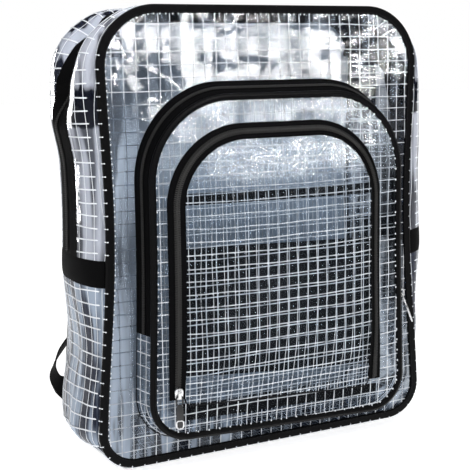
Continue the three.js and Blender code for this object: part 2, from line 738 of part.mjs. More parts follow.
function shoulderStrap(name, side) {
  const { flat, edge } = PAD;
  const face = PAD.thick / 2;
  const padSection = [[-1, face - edge], [-flat, face], [flat, face], [1, face - edge]];
  const pad = routePlaces(PAD_ROUTE, side, STRAP_STATIONS.pad);
  part(`shoulder_pad_${name}`, loft(strapSections(pad, padSection)), 'black');
  const webbing = routePlaces(WEBBING_ROUTE, side, STRAP_STATIONS.webbing, WEBBING.half);
  const webSection = [[-1, WEBBING.thick / 2], [1, WEBBING.thick / 2]];
  part(`webbing_${name}`, loft(strapSections(webbing, webSection)), 'black');
  const top = pad.at(-1).place;
  const bottom = webbing[0].place;
  const along = bottom.clone().sub(top).normalize();
  const level = point(0, 1, 0).cross(along).normalize();
  const lock = mesh(`ladder_lock_${name}`, lockGeometry(top.distanceTo(bottom)), 'plastic');
  place(lock, level, along, top.clone().lerp(bottom, 0.5));
}

// A plain adjuster frame with two slots, as long as the space between pad and webbing.
function lockGeometry(space) {
  const length = space - 2 * LOCK.clear;
  const half = LOCK.width / 2;
  const frame = new THREE.Shape([
    new THREE.Vector2(-half, -length / 2),
    new THREE.Vector2(half, -length / 2),
    new THREE.Vector2(half, length / 2),
    new THREE.Vector2(-half, length / 2),
  ]);
  const slot = (length - 3 * LOCK.bar) / 2;
  for (const way of [-1, 1]) {
    const middle = (way * (slot + LOCK.bar)) / 2;
    const reach = half - LOCK.bar;
    frame.holes.push(new THREE.Path([
      new THREE.Vector2(-reach, middle - slot / 2),
      new THREE.Vector2(-reach, middle + slot / 2),
      new THREE.Vector2(reach, middle + slot / 2),
      new THREE.Vector2(reach, middle - slot / 2),
    ]));
  }
  const geometry = new THREE.ExtrudeGeometry(frame, { depth: LOCK.thick, bevelEnabled: false });
  return geometry.translate(0, 0, -LOCK.thick / 2);
}

const bag = new THREE.Group();

function mesh(name, geometry, finish) {
  const piece = new THREE.Mesh(geometry, MATERIALS[finish]);
  piece.name = name;
  return piece;
}

function part(name, geometry, finish) {
  bag.add(mesh(name, geometry, finish));
}

mainBody();
middlePocket();
smallPocket();
organizer();
shoulderStrap('right', 1);
shoulderStrap('left', -1);

// The origin is the middle of the bottom of the whole bag's box.
bag.updateMatrixWorld(true);
const box = new THREE.Box3().setFromObject(bag, true);
const middle = box.getCenter(new THREE.Vector3());
bag.position.set(-middle.x, -middle.y, -box.min.z);

export default bag;
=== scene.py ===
"""A clear grid-reinforced tool backpack, dressed over its solids.

Sizes are millimetres in the bag's own frame: X across, Y back from the plane of the front seam,
Z up from the floor. The bench moves every finished mesh into the shared frame in metres.
"""

import logging
import math
from dataclasses import dataclass, field
from enum import Enum
from typing import Callable, NamedTuple, Sequence

import bpy
import numpy as np
from mathutils import Matrix, Vector

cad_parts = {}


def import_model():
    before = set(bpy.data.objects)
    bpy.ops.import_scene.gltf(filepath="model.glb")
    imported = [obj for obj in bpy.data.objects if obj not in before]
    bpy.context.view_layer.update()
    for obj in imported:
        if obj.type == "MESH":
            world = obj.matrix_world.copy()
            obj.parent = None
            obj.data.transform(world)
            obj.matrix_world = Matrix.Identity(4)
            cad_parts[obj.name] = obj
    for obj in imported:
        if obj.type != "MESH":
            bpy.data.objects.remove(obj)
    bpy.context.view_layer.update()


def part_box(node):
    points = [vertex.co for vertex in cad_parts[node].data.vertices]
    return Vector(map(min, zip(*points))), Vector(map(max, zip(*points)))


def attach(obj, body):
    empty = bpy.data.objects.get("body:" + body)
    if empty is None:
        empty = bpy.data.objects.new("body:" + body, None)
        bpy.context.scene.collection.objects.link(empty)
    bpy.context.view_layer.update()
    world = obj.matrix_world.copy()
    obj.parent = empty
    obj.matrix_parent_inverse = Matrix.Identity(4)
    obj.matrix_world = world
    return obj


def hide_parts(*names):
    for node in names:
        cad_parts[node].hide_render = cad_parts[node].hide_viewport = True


log = logging.getLogger("backpack")

Array = np.ndarray
Colour = tuple[float, float, float]
Pair = tuple[float, float]
Triple = tuple[float, float, float]
Face = Callable[[Array, Array], Array]
BandPoint = Callable[..., Array]

GAP = 0.3
SEAT = 0.6
SHEET = 1.2
TAPE = 1.4
THREAD_PITCH = 12.7


class Slot(Enum):
    """The record's material slots."""

    SHEET = "clear_sheet"
    PADDING = "pale_padding"
    CLOTH = "black_cloth"
    COIL = "zip_coil"
    METAL = "zip_metal"
    PLASTIC = "black_plastic"


class Body(Enum):
    """The bodies that pieces ride on."""

    BAG = "bag"
    MID_PULL = "mid_pull"
    SMALL_PULL = "small_pull"


class Side(Enum):
    """The two sides of the bag, as the sign of X."""

    RIGHT = 1
    LEFT = -1


class Operation(Enum):
    """An arithmetic step, by the name that Math, Vector Math and Mix nodes share."""

    ADD = "ADD"
    SUBTRACT = "SUBTRACT"
    MULTIPLY = "MULTIPLY"


class Socket:
    """A shader output that adds its own nodes when it is used in an expression."""

    def __init__(self, graph: "Graph", output: bpy.types.NodeSocket) -> None:
        """Keeps the graph and the output.

        Args:
            graph: The graph that the output belongs to.
            output: The node output.
        """
        self.graph = graph
        self.output = output

    def joined(self, step: Operation, first: object, second: object) -> "Socket":
        """Adds the node for one arithmetic step.

        Args:
            step: The step.
            first: The left operand.
            second: The right operand.

        Returns:
            The result's socket.
        """
        if self.output.type == "RGBA":
            settings = {"data_type": "RGBA", "blend_type": step.value, "clamp_factor": True}
            return self.graph.node("ShaderNodeMix", settings, {0: 1.0, 6: first, 7: second}, 2)
        kind = "ShaderNodeVectorMath" if self.output.type == "VECTOR" else "ShaderNodeMath"
        return self.graph.node(kind, {"operation": step.value}, {0: first, 1: second})

    def __add__(self, other: object) -> "Socket":
        """Self plus other."""
        return self.joined(Operation.ADD, self, other)

    def __radd__(self, other: object) -> "Socket":
        """Other plus self."""
        return self.joined(Operation.ADD, other, self)

    def __sub__(self, other: object) -> "Socket":
        """Self minus other."""
        return self.joined(Operation.SUBTRACT, self, other)

    def __rsub__(self, other: object) -> "Socket":
        """Other minus self."""
        return self.joined(Operation.SUBTRACT, other, self)

    def __mul__(self, other: object) -> "Socket":
        """Self times other."""
        return self.joined(Operation.MULTIPLY, self, other)

    def __rmul__(self, other: object) -> "Socket":
        """Other times self."""
        return self.joined(Operation.MULTIPLY, other, self)


class Graph:
    """The node tree of one material or world."""

    def __init__(self, owner: bpy.types.Material | bpy.types.World) -> None:
        """Starts an empty tree.

        Args:
            owner: The material or world that it belongs to.
        """
        self.owner = owner
        self.owner.use_nodes = True
        self.tree = self.owner.node_tree
        self.tree.nodes.clear()

    @classmethod
    def material(cls, name: str) -> "Graph":
        """Starts a new material's tree."""
        return cls(bpy.data.materials.new(name))

    def node(
        self,
        kind: str,
        settings: dict[str, object] | None = None,
        sockets: dict[str | int, object] | None = None,
        output: str | int = 0,
    ) -> Socket:
        """Adds a node of any type.

        Args:
            kind: The node's type.
            settings: Its settings.
            sockets: Values or links for its inputs, by name or index.
            output: Which output to hand back.

        Returns:
            The chosen output.
        """
        made = self.tree.nodes.new(kind)
        for key, value in (settings or {}).items():
            setattr(made, key, value)
        for key, value in (sockets or {}).items():
            if isinstance(value, Socket):
                self.tree.links.new(value.output, made.inputs[key])
            elif isinstance(value, tuple) and made.inputs[key].type == "RGBA":
                made.inputs[key].default_value = (*value, 1.0)
            else:
                made.inputs[key].default_value = value
        return Socket(self, made.outputs[output])

    def coords(self, output: str = "Object") -> Socket:
        """The surface coordinates, by default the piece's own in metres."""
        return self.node("ShaderNodeTexCoord", output=output)

    def axes(self, output: str = "Object") -> list[Socket]:
        """The three parts of the surface coordinates."""
        split = self.node("ShaderNodeSeparateXYZ", sockets={0: self.coords(output)}).output.node
        return [Socket(self, part) for part in split.outputs]

    def noise(self, scale: float, detail: float = 2.0, where: Socket | None = None) -> Socket:
        """Adds a noise between 0 and 1.

        Args:
            scale: Features per metre.
            detail: Octaves.
            where: Coordinates, by default the piece's own.

        Returns:
            The noise's value.
        """
        sockets = {"Vector": where or self.coords(), "Scale": scale, "Detail": detail}
        return self.node("ShaderNodeTexNoise", sockets=sockets, output="Fac")

    def stripes(self, along: Socket, pitch: float) -> Socket:
        """Adds a wave between 0 and 1 along a coordinate.

        Args:
            along: The coordinate in millimetres.
            pitch: The wave's length in millimetres.

        Returns:
            The wave's value.
        """
        turn = along * (2 * math.pi / pitch)
        return self.node("ShaderNodeMath", {"operation": "SINE"}, {0: turn}) * 0.5 + 0.5

    def steps(self, value: Socket, low: float, high: float) -> Socket:
        """Adds a clamped ramp, 0 at the low value and 1 at the high one.

        Args:
            value: What the ramp follows.
            low: Where it starts.
            high: Where it ends.

        Returns:
            The ramp's value.
        """
        settings = {"clamp": True, "interpolation_type": "SMOOTHSTEP"}
        return self.node("ShaderNodeMapRange", settings, {0: value, 1: low, 2: high})

    def bump(self, height: Socket, strength: float, distance: float) -> Socket:
        """Adds a bump for a Normal input.

        Args:
            height: The height, 0 to 1.
            strength: How much of it shows.
            distance: Its depth in metres.

        Returns:
            The bent normal.
        """
        sockets = {"Strength": strength, "Distance": distance, "Height": height}
        return self.node("ShaderNodeBump", sockets=sockets, output="Normal")

    def blend(self, share: Socket, low: Colour | Socket, high: Colour | Socket) -> Socket:
        """Mixes two colours by a share."""
        return self.node("ShaderNodeMix", {"data_type": "RGBA"}, {0: share, 6: low, 7: high}, 2)

    def finish(self, shader: Socket) -> bpy.types.Material | bpy.types.World:
        """Ends the tree with a shader.

        Args:
            shader: The shader for its surface.

        Returns:
            The material or world.
        """
        world = isinstance(self.owner, bpy.types.World)
        end = self.tree.nodes.new("ShaderNodeOutputWorld" if world else "ShaderNodeOutputMaterial")
        self.tree.links.new(shader.output, end.inputs["Surface"])
        return self.owner

    def surface(self, sockets: dict[str, object]) -> bpy.types.Material:
        """Ends the tree with one Principled shader."""
        return self.finish(self.node("ShaderNodeBsdfPrincipled", sockets=sockets))


@dataclass(frozen=True)
class ClearSheet:
    """Clear flexible sheet with a faint blue haze and rippled gloss, and painted light and shade: fold streaks,
    shade towards the back seam, the floor and one edge, a darker band between two heights, and pale sheen
    patches.
    """

    name: str = "clear_sheet"
    dark: Colour = (0.02, 0.03, 0.045)
    pale: Colour = (0.10, 0.13, 0.17)
    through: Colour = (0.91, 0.94, 0.97)
    film: float = 0.04
    cloud: float = 0.03
    rim: float = 0.3
    rough: float = 0.07
    index: float = 1.55
    # Painted fold shading: how much it shows, the grain of its streaks and their span; the streaks stand for
    # folds catching the light.
    fold_shade: float = 0.0
    grain: float = 85.0
    fold_shade_span: Pair = (0.42, 0.58)
    # Span in depth of the painted shade towards the back seam.
    back_shade_span: Pair = (0.03, 0.055)
    # Span in height of the painted shade near the floor.
    floor_shade_span: Pair = (0.02, 0.006)
    # Mottle of the painted sheen.
    sheen_mottle_span: Pair = (0.2, 0.7)
    belt_fade: Pair = (0.006, 0.012)
    ripple: Pair = (0.45, 0.004)
    # Painted sheen: pale mottled patches that stand for reflected light; its strength, direction, span and
    # stretch.
    painted_sheen: float = 0.0
    sheen_way: Triple = (0.0, 0.0, 1.0)
    sheen_span: Pair = (0.24, 0.32)
    sheen_stretch: float = 1.0
    # Strength of the painted shade near the floor.
    foot: float = 0.0
    # Strength of the painted shade towards the back seam.
    back: float = 0.0
    belt: Pair | None = None
    # Painted shade on one edge: its strength, its span across, and where it starts at the bottom and ends at
    # the top.
    edge: float = 0.0
    edge_shade_span: Pair = (0.118, 0.142)
    edge_shade_low: Pair = (0.12, 0.17)
    edge_shade_high: Pair = (0.39, 0.34)

    def build(self) -> bpy.types.Material:
        """Makes the material."""
        graph = Graph.material(self.name)
        cloud = graph.noise(11.0, 3.0)
        # Painted fold shading: noise stretched upright gives streaks of light and shade where folds would catch
        # the light. The tone also carries random haze and the painted shade below.
        drawn = graph.coords() * (1.0, 1.0, 0.13)
        fold = graph.steps(graph.noise(self.grain, 2.0, drawn), *self.fold_shade_span)
        tone_and_shade = cloud * (1 - self.fold_shade) + fold * self.fold_shade
        side, depth, height = graph.axes()
        # Painted sheen: where along a direction the pale patches lie.
        sheen_along = graph.node("ShaderNodeVectorMath", {"operation": "DOT_PRODUCT"},
                            {0: graph.coords(), 1: self.sheen_way}, "Value")
        # Painted shade: the sheet darkens towards the back seam.
        tone_and_shade = tone_and_shade - graph.steps(depth, *self.back_shade_span) * self.back
        if self.belt:
            (bottom, top), (below, above) = self.belt, self.belt_fade
            tone_and_shade = tone_and_shade - graph.steps(height, bottom, bottom + below) * graph.steps(height, top, top - above)
        # Painted shade: a dark, more solid patch on one edge of the sheet, where what lies behind shows dark.
        edge = graph.steps(side, *self.edge_shade_span) * graph.steps(height, *self.edge_shade_low) * self.edge
        edge = edge * graph.steps(height, *self.edge_shade_high)
        tone_and_shade = tone_and_shade - edge * 2.0
        # Painted shade: low holds darkening near the floor, which also makes the sheet more solid there.
        low = graph.steps(height, *self.floor_shade_span) * self.foot
        # Painted sheen: high holds pale mottled patches that make the sheet more solid and paler, standing for
        # reflected light.
        sheen_mottle = graph.noise(45.0, 3.0, graph.coords() * (1.0, 1.0, self.sheen_stretch))
        high = graph.steps(sheen_along, *self.sheen_span) * graph.steps(sheen_mottle, *self.sheen_mottle_span) * self.painted_sheen
        ripple = graph.noise(38.0, 2.0) + graph.noise(9.0, 1.0) * 2.0
        facing = graph.node("ShaderNodeLayerWeight", sockets={"Blend": 0.3}, output="Facing")
        share = tone_and_shade * self.cloud + facing * facing * self.rim + self.film + low + high + edge
        film = graph.node("ShaderNodeBsdfPrincipled", sockets={
            "Base Color": graph.blend(tone_and_shade - low * 2.0, self.dark, self.pale),
            "Roughness": self.rough,
            "IOR": self.index,
            "Normal": graph.bump(ripple, *self.ripple),
        })
        clear = graph.node("ShaderNodeBsdfTransparent", sockets={"Color": self.through})
        return graph.finish(graph.node("ShaderNodeMixShader", sockets={0: share, 1: clear, 2: film}))


@dataclass(frozen=True)
class WhiteThread:
    """White laminated thread."""

    name: str = "white_thread"
    low: Colour = (0.72, 0.77, 0.84)
    high: Colour = (0.95, 0.96, 0.98)
    faintest: float = -0.25
    spread: float = 1.6
    shade: float = 0.0
    shade_span: Pair = (-0.135, -0.155)
    shade_low: Pair = (0.06, 0.11)
    shade_high: Pair = (0.40, 0.36)
    shade_colour: Colour = (0.13, 0.17, 0.23)

    def build(self) -> bpy.types.Material:
        """Makes the material."""
        graph = Graph.material(self.name)
        patch = graph.noise(160.0)
        side, _, height = graph.axes()
        shaded = graph.steps(side, *self.shade_span) * graph.steps(height, *self.shade_low)
        shaded = shaded * graph.steps(height, *self.shade_high) * self.shade
        shown = graph.noise(65.0) * self.spread + self.faintest
        fibre = graph.noise(2600.0, 1.0)
        return graph.surface({
            "Base Color": graph.blend(shaded, graph.blend(patch, self.low, self.high), self.shade_colour),
            "Roughness": 0.42,
            "Coat Weight": 0.3,
            "Alpha": shown,
            "Normal": graph.bump(fibre, 0.3, 0.0003),
        })


@dataclass(frozen=True)
class BlackWeave:
    """Black woven tape, webbing or cloth, with its weave along the piece."""

    name: str
    rib: float = 1.1
    cross: float = 0.9
    depth: float = 0.0003
    dark: Colour = (0.0015, 0.0015, 0.0018)
    light: Colour = (0.005, 0.005, 0.0055)
    rough: float = 0.55
    gloss: float = 0.03
    sheen: float = 0.0

    def build(self) -> bpy.types.Material:
        """Makes the material."""
        graph = Graph.material(self.name)
        flat, across, _ = graph.axes("UV")
        weave = graph.stripes(flat, self.rib) * graph.stripes(across, self.cross)
        dust = graph.noise(55.0, 3.0)
        return graph.surface({
            "Base Color": graph.blend(weave * 0.6 + dust * 0.4, self.dark, self.light),
            "Roughness": dust * 0.15 + self.rough,
            "Specular IOR Level": self.gloss,
            "Sheen Weight": self.sheen,
            "Normal": graph.bump(weave, 0.5, self.depth),
        })


@dataclass(frozen=True)
class PaleCloth:
    """The pale padded back."""

    name: str = "pale_cloth"
    low: Colour = (0.32, 0.38, 0.46)
    high: Colour = (0.52, 0.58, 0.66)

    def build(self) -> bpy.types.Material:
        """Makes the material."""
        graph = Graph.material(self.name)
        flat, across, _ = graph.axes("UV")
        weave = graph.stripes(flat, 1.6) * graph.stripes(across, 1.6)
        patch = graph.noise(12.0, 4.0)
        return graph.surface({
            "Base Color": graph.blend(patch, self.low, self.high),
            "Roughness": patch * 0.2 + 0.5,
            "Sheen Weight": 0.15,
            "Normal": graph.bump(weave * 0.5 + patch, 0.4, 0.0012),
        })


@dataclass(frozen=True)
class PlatedMetal:
    """Plated zinc with fine scratches and duller patches."""

    name: str = "plated_metal"
    low: Colour = (0.55, 0.55, 0.56)
    high: Colour = (0.83, 0.83, 0.84)

    def build(self) -> bpy.types.Material:
        """Makes the material."""
        graph = Graph.material(self.name)
        wear = graph.noise(420.0, 3.0)
        return graph.surface({
            "Base Color": graph.blend(wear, self.low, self.high),
            "Metallic": 1.0,
            "Roughness": wear * 0.25 + 0.16,
            "Normal": graph.bump(wear, 0.15, 0.0002),
        })


@dataclass(frozen=True)
class BlackPlastic:
    """Moulded black plastic with a fine grain."""

    name: str
    dark: Colour = (0.006, 0.006, 0.0065)
    light: Colour = (0.02, 0.02, 0.021)
    rough: float = 0.32

    def build(self) -> bpy.types.Material:
        """Makes the material."""
        graph = Graph.material(self.name)
        grain = graph.noise(1500.0, 2.0)
        wear = graph.noise(70.0, 3.0)
        return graph.surface({
            "Base Color": graph.blend(wear, self.dark, self.light),
            "Roughness": wear * 0.2 + self.rough,
            "Normal": graph.bump(grain, 0.25, 0.0002),
        })


@dataclass(frozen=True)
class StudioFloor:
    """A plain pale floor."""

    name: str = "studio_floor"
    glow: float = 0.8

    def build(self) -> bpy.types.Material:
        """Makes the material."""
        graph = Graph.material(self.name)
        patch = graph.noise(1.5, 2.0)
        return graph.surface({
            "Base Color": graph.blend(patch, (0.93, 0.93, 0.93), (0.95, 0.95, 0.95)),
            "Roughness": 0.9,
            "Specular IOR Level": 0.0,
            "Emission Color": (1.0, 1.0, 1.0),
            "Emission Strength": self.glow,
        })


@dataclass
class Shell:
    """A mesh in the making: points, four-sided faces with their weave coordinates, and end caps."""

    points: Array
    quads: Array
    uvs: Array
    caps: list[list[int]] = field(default_factory=list)

    @staticmethod
    def joined(shells: Sequence["Shell"]) -> "Shell":
        """Puts several shells into one.

        Args:
            shells: The shells.

        Returns:
            One shell with all of them.
        """
        starts = np.cumsum([0] + [len(shell.points) for shell in shells])
        caps = [
            [index + start for index in cap]
            for shell, start in zip(shells, starts.tolist())
            for cap in shell.caps
        ]
        return Shell(
            np.concatenate([shell.points for shell in shells]),
            np.concatenate([shell.quads + start for shell, start in zip(shells, starts)]),
            np.concatenate([shell.uvs for shell in shells]),
            caps,
        )


def distances(line: Array, closed: bool) -> Array:
    """Measures along a line of points.

    Args:
        line: Points, one a row.
        closed: Whether the line returns to its start.

    Returns:
        The distance of each point from the first, and of the return to it if closed.
    """
    ends = np.concatenate([line, line[:1]]) if closed else line
    steps = np.linalg.norm(np.diff(ends, axis=0), axis=1)
    return np.concatenate([[0.0], np.cumsum(steps)])


def grid(points: Array, wrap_rows: bool = False, wrap_columns: bool = False, capped: bool = False) -> Shell:
    """Makes a shell from a table of points.

    Args:
        points: Rows and columns of points.
        wrap_rows: Whether the last row joins the first.
        wrap_columns: Whether the last column joins the first.
        capped: Whether the first and last rows are closed by a face.

    Returns:
        The shell.
    """
    rows, columns = points.shape[:2]
    index = np.arange(rows * columns).reshape(rows, columns)
    if wrap_rows:
        index = np.concatenate([index, index[:1]])
    if wrap_columns:
        index = np.concatenate([index, index[:, :1]], axis=1)
    along = distances(points[:, columns // 2], wrap_rows)
    over = distances(points[rows // 2], wrap_columns)
    uv = np.stack(np.meshgrid(along, over, indexing="ij"), axis=-1)

    def corners(table: Array) -> Array:
        """The four corners of every cell."""
        return np.stack([table[:-1, :-1], table[1:, :-1], table[1:, 1:], table[:-1, 1:]], axis=2)

    caps = [index[0, :columns].tolist(), index[-1, :columns][::-1].tolist()] if capped else []
    return Shell(
        points.reshape(-1, 3),
        corners(index).reshape(-1, 4),
        corners(uv).reshape(-1, 4, 2),
        caps,
    )


def stacked(x: Array | float, y: Array | float, z: Array | float) -> Array:
    """Points from their three parts, each spread to the same shape."""
    return np.stack(np.broadcast_arrays(x, y, z), axis=-1)


def unit(vectors: Array) -> Array:
    """Scales vectors to length one."""
    return vectors / np.maximum(np.linalg.norm(vectors, axis=-1, keepdims=True), 1e-9)


def ellipse(wide: float, thick: float, count: int, power: float = 1.0) -> Array:
    """A closed section, round or squarish.

    Args:
        wide: Half its width.
        thick: Half its thickness.
        count: Points round it.
        power: 1 for an ellipse, less for fuller corners.

    Returns:
        Its points as across and out pairs.
    """
    turn = np.linspace(0, 2 * np.pi, count, endpoint=False)
    bent = [np.sign(part) * np.abs(part) ** power for part in (np.cos(turn), np.sin(turn))]
    return np.stack([wide * bent[0], thick * bent[1]], axis=1)


def sweep(path: Array, faces: Array, section: Array, closed: bool = False) -> Shell:
    """Carries a section along a path.

    Args:
        path: Points along the path.
        faces: The direction that the section's second axis follows at each point.
        section: The section's points as across and out pairs.
        closed: Whether the path returns to its start.

    Returns:
        A tube, capped where it is open.
    """
    if closed:
        along = unit(np.roll(path, -1, axis=0) - np.roll(path, 1, axis=0))
    else:
        along = unit(np.gradient(path, axis=0))
    across = unit(np.cross(along, faces))
    out = np.cross(across, along)
    points = path[:, None] + section[None, :, :1] * across[:, None] + section[None, :, 1:] * out[:, None]
    return grid(points, wrap_rows=closed, wrap_columns=True, capped=not closed)


def capsules(starts: Array, ends: Array, radius: float, sides: int = 6) -> Shell:
    """Many small rounded rods, such as stitches or zip teeth.

    Args:
        starts: One end of each.
        ends: The other end of each.
        radius: Half their thickness.
        sides: Facets round them.

    Returns:
        All of them in one shell.
    """
    along = unit(ends - starts)
    guess = np.where(np.abs(along[:, 2:]) > 0.8, [[1.0, 0.0, 0.0]], [[0.0, 0.0, 1.0]])
    first = unit(np.cross(along, guess))
    second = np.cross(along, first)
    turn = np.linspace(0, 2 * np.pi, sides, endpoint=False)
    ring = np.cos(turn)[None, :, None] * first[:, None] + np.sin(turn)[None, :, None] * second[:, None]
    rings = []
    for end, shift, share in ((starts, -1.0, 0.35), (starts, 0.0, 1.0), (ends, 0.0, 1.0), (ends, 1.0, 0.35)):
        middle = end + along * radius * shift
        rings.append(middle[:, None] + ring * radius * share)
    points = np.stack(rings, axis=1)
    count = len(starts)
    index = np.arange(count * 4 * sides).reshape(count, 4, sides)
    turned = np.roll(index, -1, axis=2)
    quads = np.stack([index[:, :-1], index[:, 1:], turned[:, 1:], turned[:, :-1]], axis=-1).reshape(-1, 4)
    caps = index[:, 0].tolist() + index[:, 3, ::-1].tolist()
    return Shell(points.reshape(-1, 3), quads, np.zeros((len(quads), 4, 2)), caps)


def beads(places: Array, radius: float) -> Shell:
    """Small round knots.

    Args:
        places: Their middles.
        radius: Half their width.

    Returns:
        All of them in one shell.
    """
    nudge = np.array([0.0, 0.0, radius * 0.35])
    return capsules(places - nudge, places + nudge, radius * 0.8, 7)


def spread(table: Sequence[tuple[float, ...]], column: int, heights: Array) -> Array:
    """Reads a column of a table that is sorted by height, smoothly between its rows.

    Args:
        table: Rows that start with a height.
        column: The column to read.
        heights: Where to read it.

    Returns:
        The column's values.
    """
    marks = np.array([row[0] for row in table])
    values = np.array([row[column] for row in table])
    low = np.clip(np.searchsorted(marks, heights) - 1, 0, len(marks) - 2)
    share = np.clip((heights - marks[low]) / (marks[low + 1] - marks[low]), 0, 1)
    return values[low] + (values[low + 1] - values[low]) * share * share * (3 - 2 * share)


@dataclass
class Places:
    """Places on an outline with their outward directions."""

    x: Array
    z: Array
    nx: Array
    nz: Array

    @property
    def out(self) -> Array:
        """The outward directions as vectors."""
        return stacked(self.nx, 0.0, self.nz)

    def away(self, out: float, y: float) -> Array:
        """Points at a distance out from the places, at one depth."""
        return stacked(self.x + out * self.nx, y, self.z + out * self.nz)


@dataclass(frozen=True)
class Outline:
    """A rounded outline in the XZ plane, walked from its bottom middle towards +X and round."""

    half: float
    bottom: float
    top: float
    top_radius: float
    bottom_radius: float
    bow: float = 0.0
    taper: float = 0.0
    slant: float = 0.0
    offset: float = 0.0
    count: int = 2400

    @property
    def middle(self) -> float:
        """Its middle height."""
        return (self.bottom + self.top) / 2

    def walk(self) -> tuple[Array, Array]:
        """The rounded rectangle before it is drawn in, at even steps.

        Returns:
            X and Z along it.
        """
        quarter = np.linspace(0, np.pi / 2, 80)
        low, high = self.half - self.bottom_radius, self.half - self.top_radius
        corners = (
            (low, self.bottom + self.bottom_radius, self.bottom_radius, -np.pi / 2),
            (high, self.top - self.top_radius, self.top_radius, 0.0),
            (-high, self.top - self.top_radius, self.top_radius, np.pi / 2),
            (-low, self.bottom + self.bottom_radius, self.bottom_radius, np.pi),
        )
        start = np.array([[0.0, self.bottom]])
        arcs = [
            np.stack([x + r * np.cos(first + quarter), z + r * np.sin(first + quarter)], axis=1)
            for x, z, r, first in corners
        ]
        line = np.concatenate([start, *arcs])
        marks = distances(line, True)
        ends = np.concatenate([line, start])
        steps = np.linspace(0, marks[-1], self.count, endpoint=False)
        return np.interp(steps, marks, ends[:, 0]), np.interp(steps, marks, ends[:, 1])

    def table(self) -> tuple[Array, Array]:
        """The finished outline, closed on itself.

        Returns:
            Marks from 0 to 1 along it, and rows of X, Z and the outward direction.
        """
        x, z = self.walk()
        share = (z - self.bottom) / (self.top - self.bottom)
        drawn = self.bow / self.half * np.sin(np.pi * share) ** 2
        wide = 1 - drawn + self.taper * (0.5 - share)
        line = np.stack([self.offset + x * wide, z + self.slant * x * (1 - share)], axis=1)
        along = unit(np.roll(line, -2, axis=0) - np.roll(line, 2, axis=0))
        rows = np.concatenate([line, along[:, 1:], -along[:, :1]], axis=1)
        marks = distances(line, True)
        return marks / marks[-1], np.concatenate([rows, rows[:1]])

    def length(self) -> float:
        """The way round it."""
        x, z = self.walk()
        return float(distances(np.stack([x, z], axis=1), True)[-1])

    def at(self, parameter: Array) -> Places:
        """The places at parameters from 0 to 1.

        Args:
            parameter: How far round.

        Returns:
            The places.
        """
        marks, rows = outline_table(self)
        turn = np.mod(parameter, 1.0)
        x, z, nx, nz = (np.interp(turn, marks, rows[:, column]) for column in range(4))
        size = np.hypot(nx, nz)
        return Places(x, z, nx / size, nz / size)

    def at_height(self, height: float, side: Side) -> float:
        """The parameter at which a side reaches a height.

        Args:
            height: The height.
            side: Which side.

        Returns:
            The parameter.
        """
        marks, rows = outline_table(self)
        x, z = rows[:, 0], rows[:, 1]
        crossing = (x[:-1] * side.value > 0) & ((z[:-1] - height) * (z[1:] - height) <= 0) & (z[:-1] != z[1:])
        first = int(np.argmax(crossing))
        share = (height - z[first]) / (z[first + 1] - z[first])
        return float(marks[first] + share * (marks[first + 1] - marks[first]))


OUTLINE_TABLES: dict[Outline, tuple[Array, Array]] = {}


def outline_table(outline: Outline) -> tuple[Array, Array]:
    """An outline's table, worked out once.

    Args:
        outline: The outline.

    Returns:
        Its marks and rows.
    """
    if outline not in OUTLINE_TABLES:
        OUTLINE_TABLES[outline] = outline.table()
    return OUTLINE_TABLES[outline]


@dataclass(frozen=True)
class Crease:
    """One soft fold in a sheet: its middle, direction, reach, width and depth."""

    x: float
    z: float
    turn: float
    reach: float
    width: float
    depth: float

    def depth_at(self, x: Array, z: Array) -> Array:
        """How far the fold moves the sheet.

        Args:
            x: Places across.
            z: Places up.

        Returns:
            The move in millimetres.
        """
        angle = math.radians(self.turn)
        along = (x - self.x) * math.cos(angle) + (z - self.z) * math.sin(angle)
        off = (z - self.z) * math.cos(angle) - (x - self.x) * math.sin(angle)
        return self.depth * np.exp(-((along / self.reach) ** 2) - (off / self.width) ** 2)


FRONT_CREASES = (
    Crease(-120, 405, -40, 60, 9, 1.6),
    Crease(-95, 400, -62, 50, 7, -1.2),
    Crease(-60, 410, -80, 45, 8, 1.0),
    Crease(120, 420, 50, 50, 8, -1.6),
    Crease(140, 400, 60, 60, 7, 1.4),
    Crease(95, 430, 35, 40, 7, 1.2),
    Crease(-158, 250, 90, 190, 5, -0.9),
    Crease(-150, 240, 90, 170, 4, 0.8),
    Crease(-30, 420, 0, 150, 14, -1.2),
)

MID_CREASES = (
    Crease(-60, 350, 10, 70, 9, 0.9),
    Crease(20, 355, -8, 60, 8, -0.8),
    Crease(100, 320, -50, 45, 8, 1.0),
    Crease(0, 58, 3, 130, 7, 1.0),
)

SMALL_CREASES = (
    Crease(30, 100, 12, 45, 9, 1.6),
    Crease(75, 92, -14, 30, 8, -1.4),
    Crease(-40, 90, 4, 60, 8, 1.1),
    Crease(-20, 250, 80, 60, 10, 1.0),
    Crease(10, 255, 70, 50, 9, -0.9),
    Crease(55, 200, 40, 40, 10, 1.1),
)


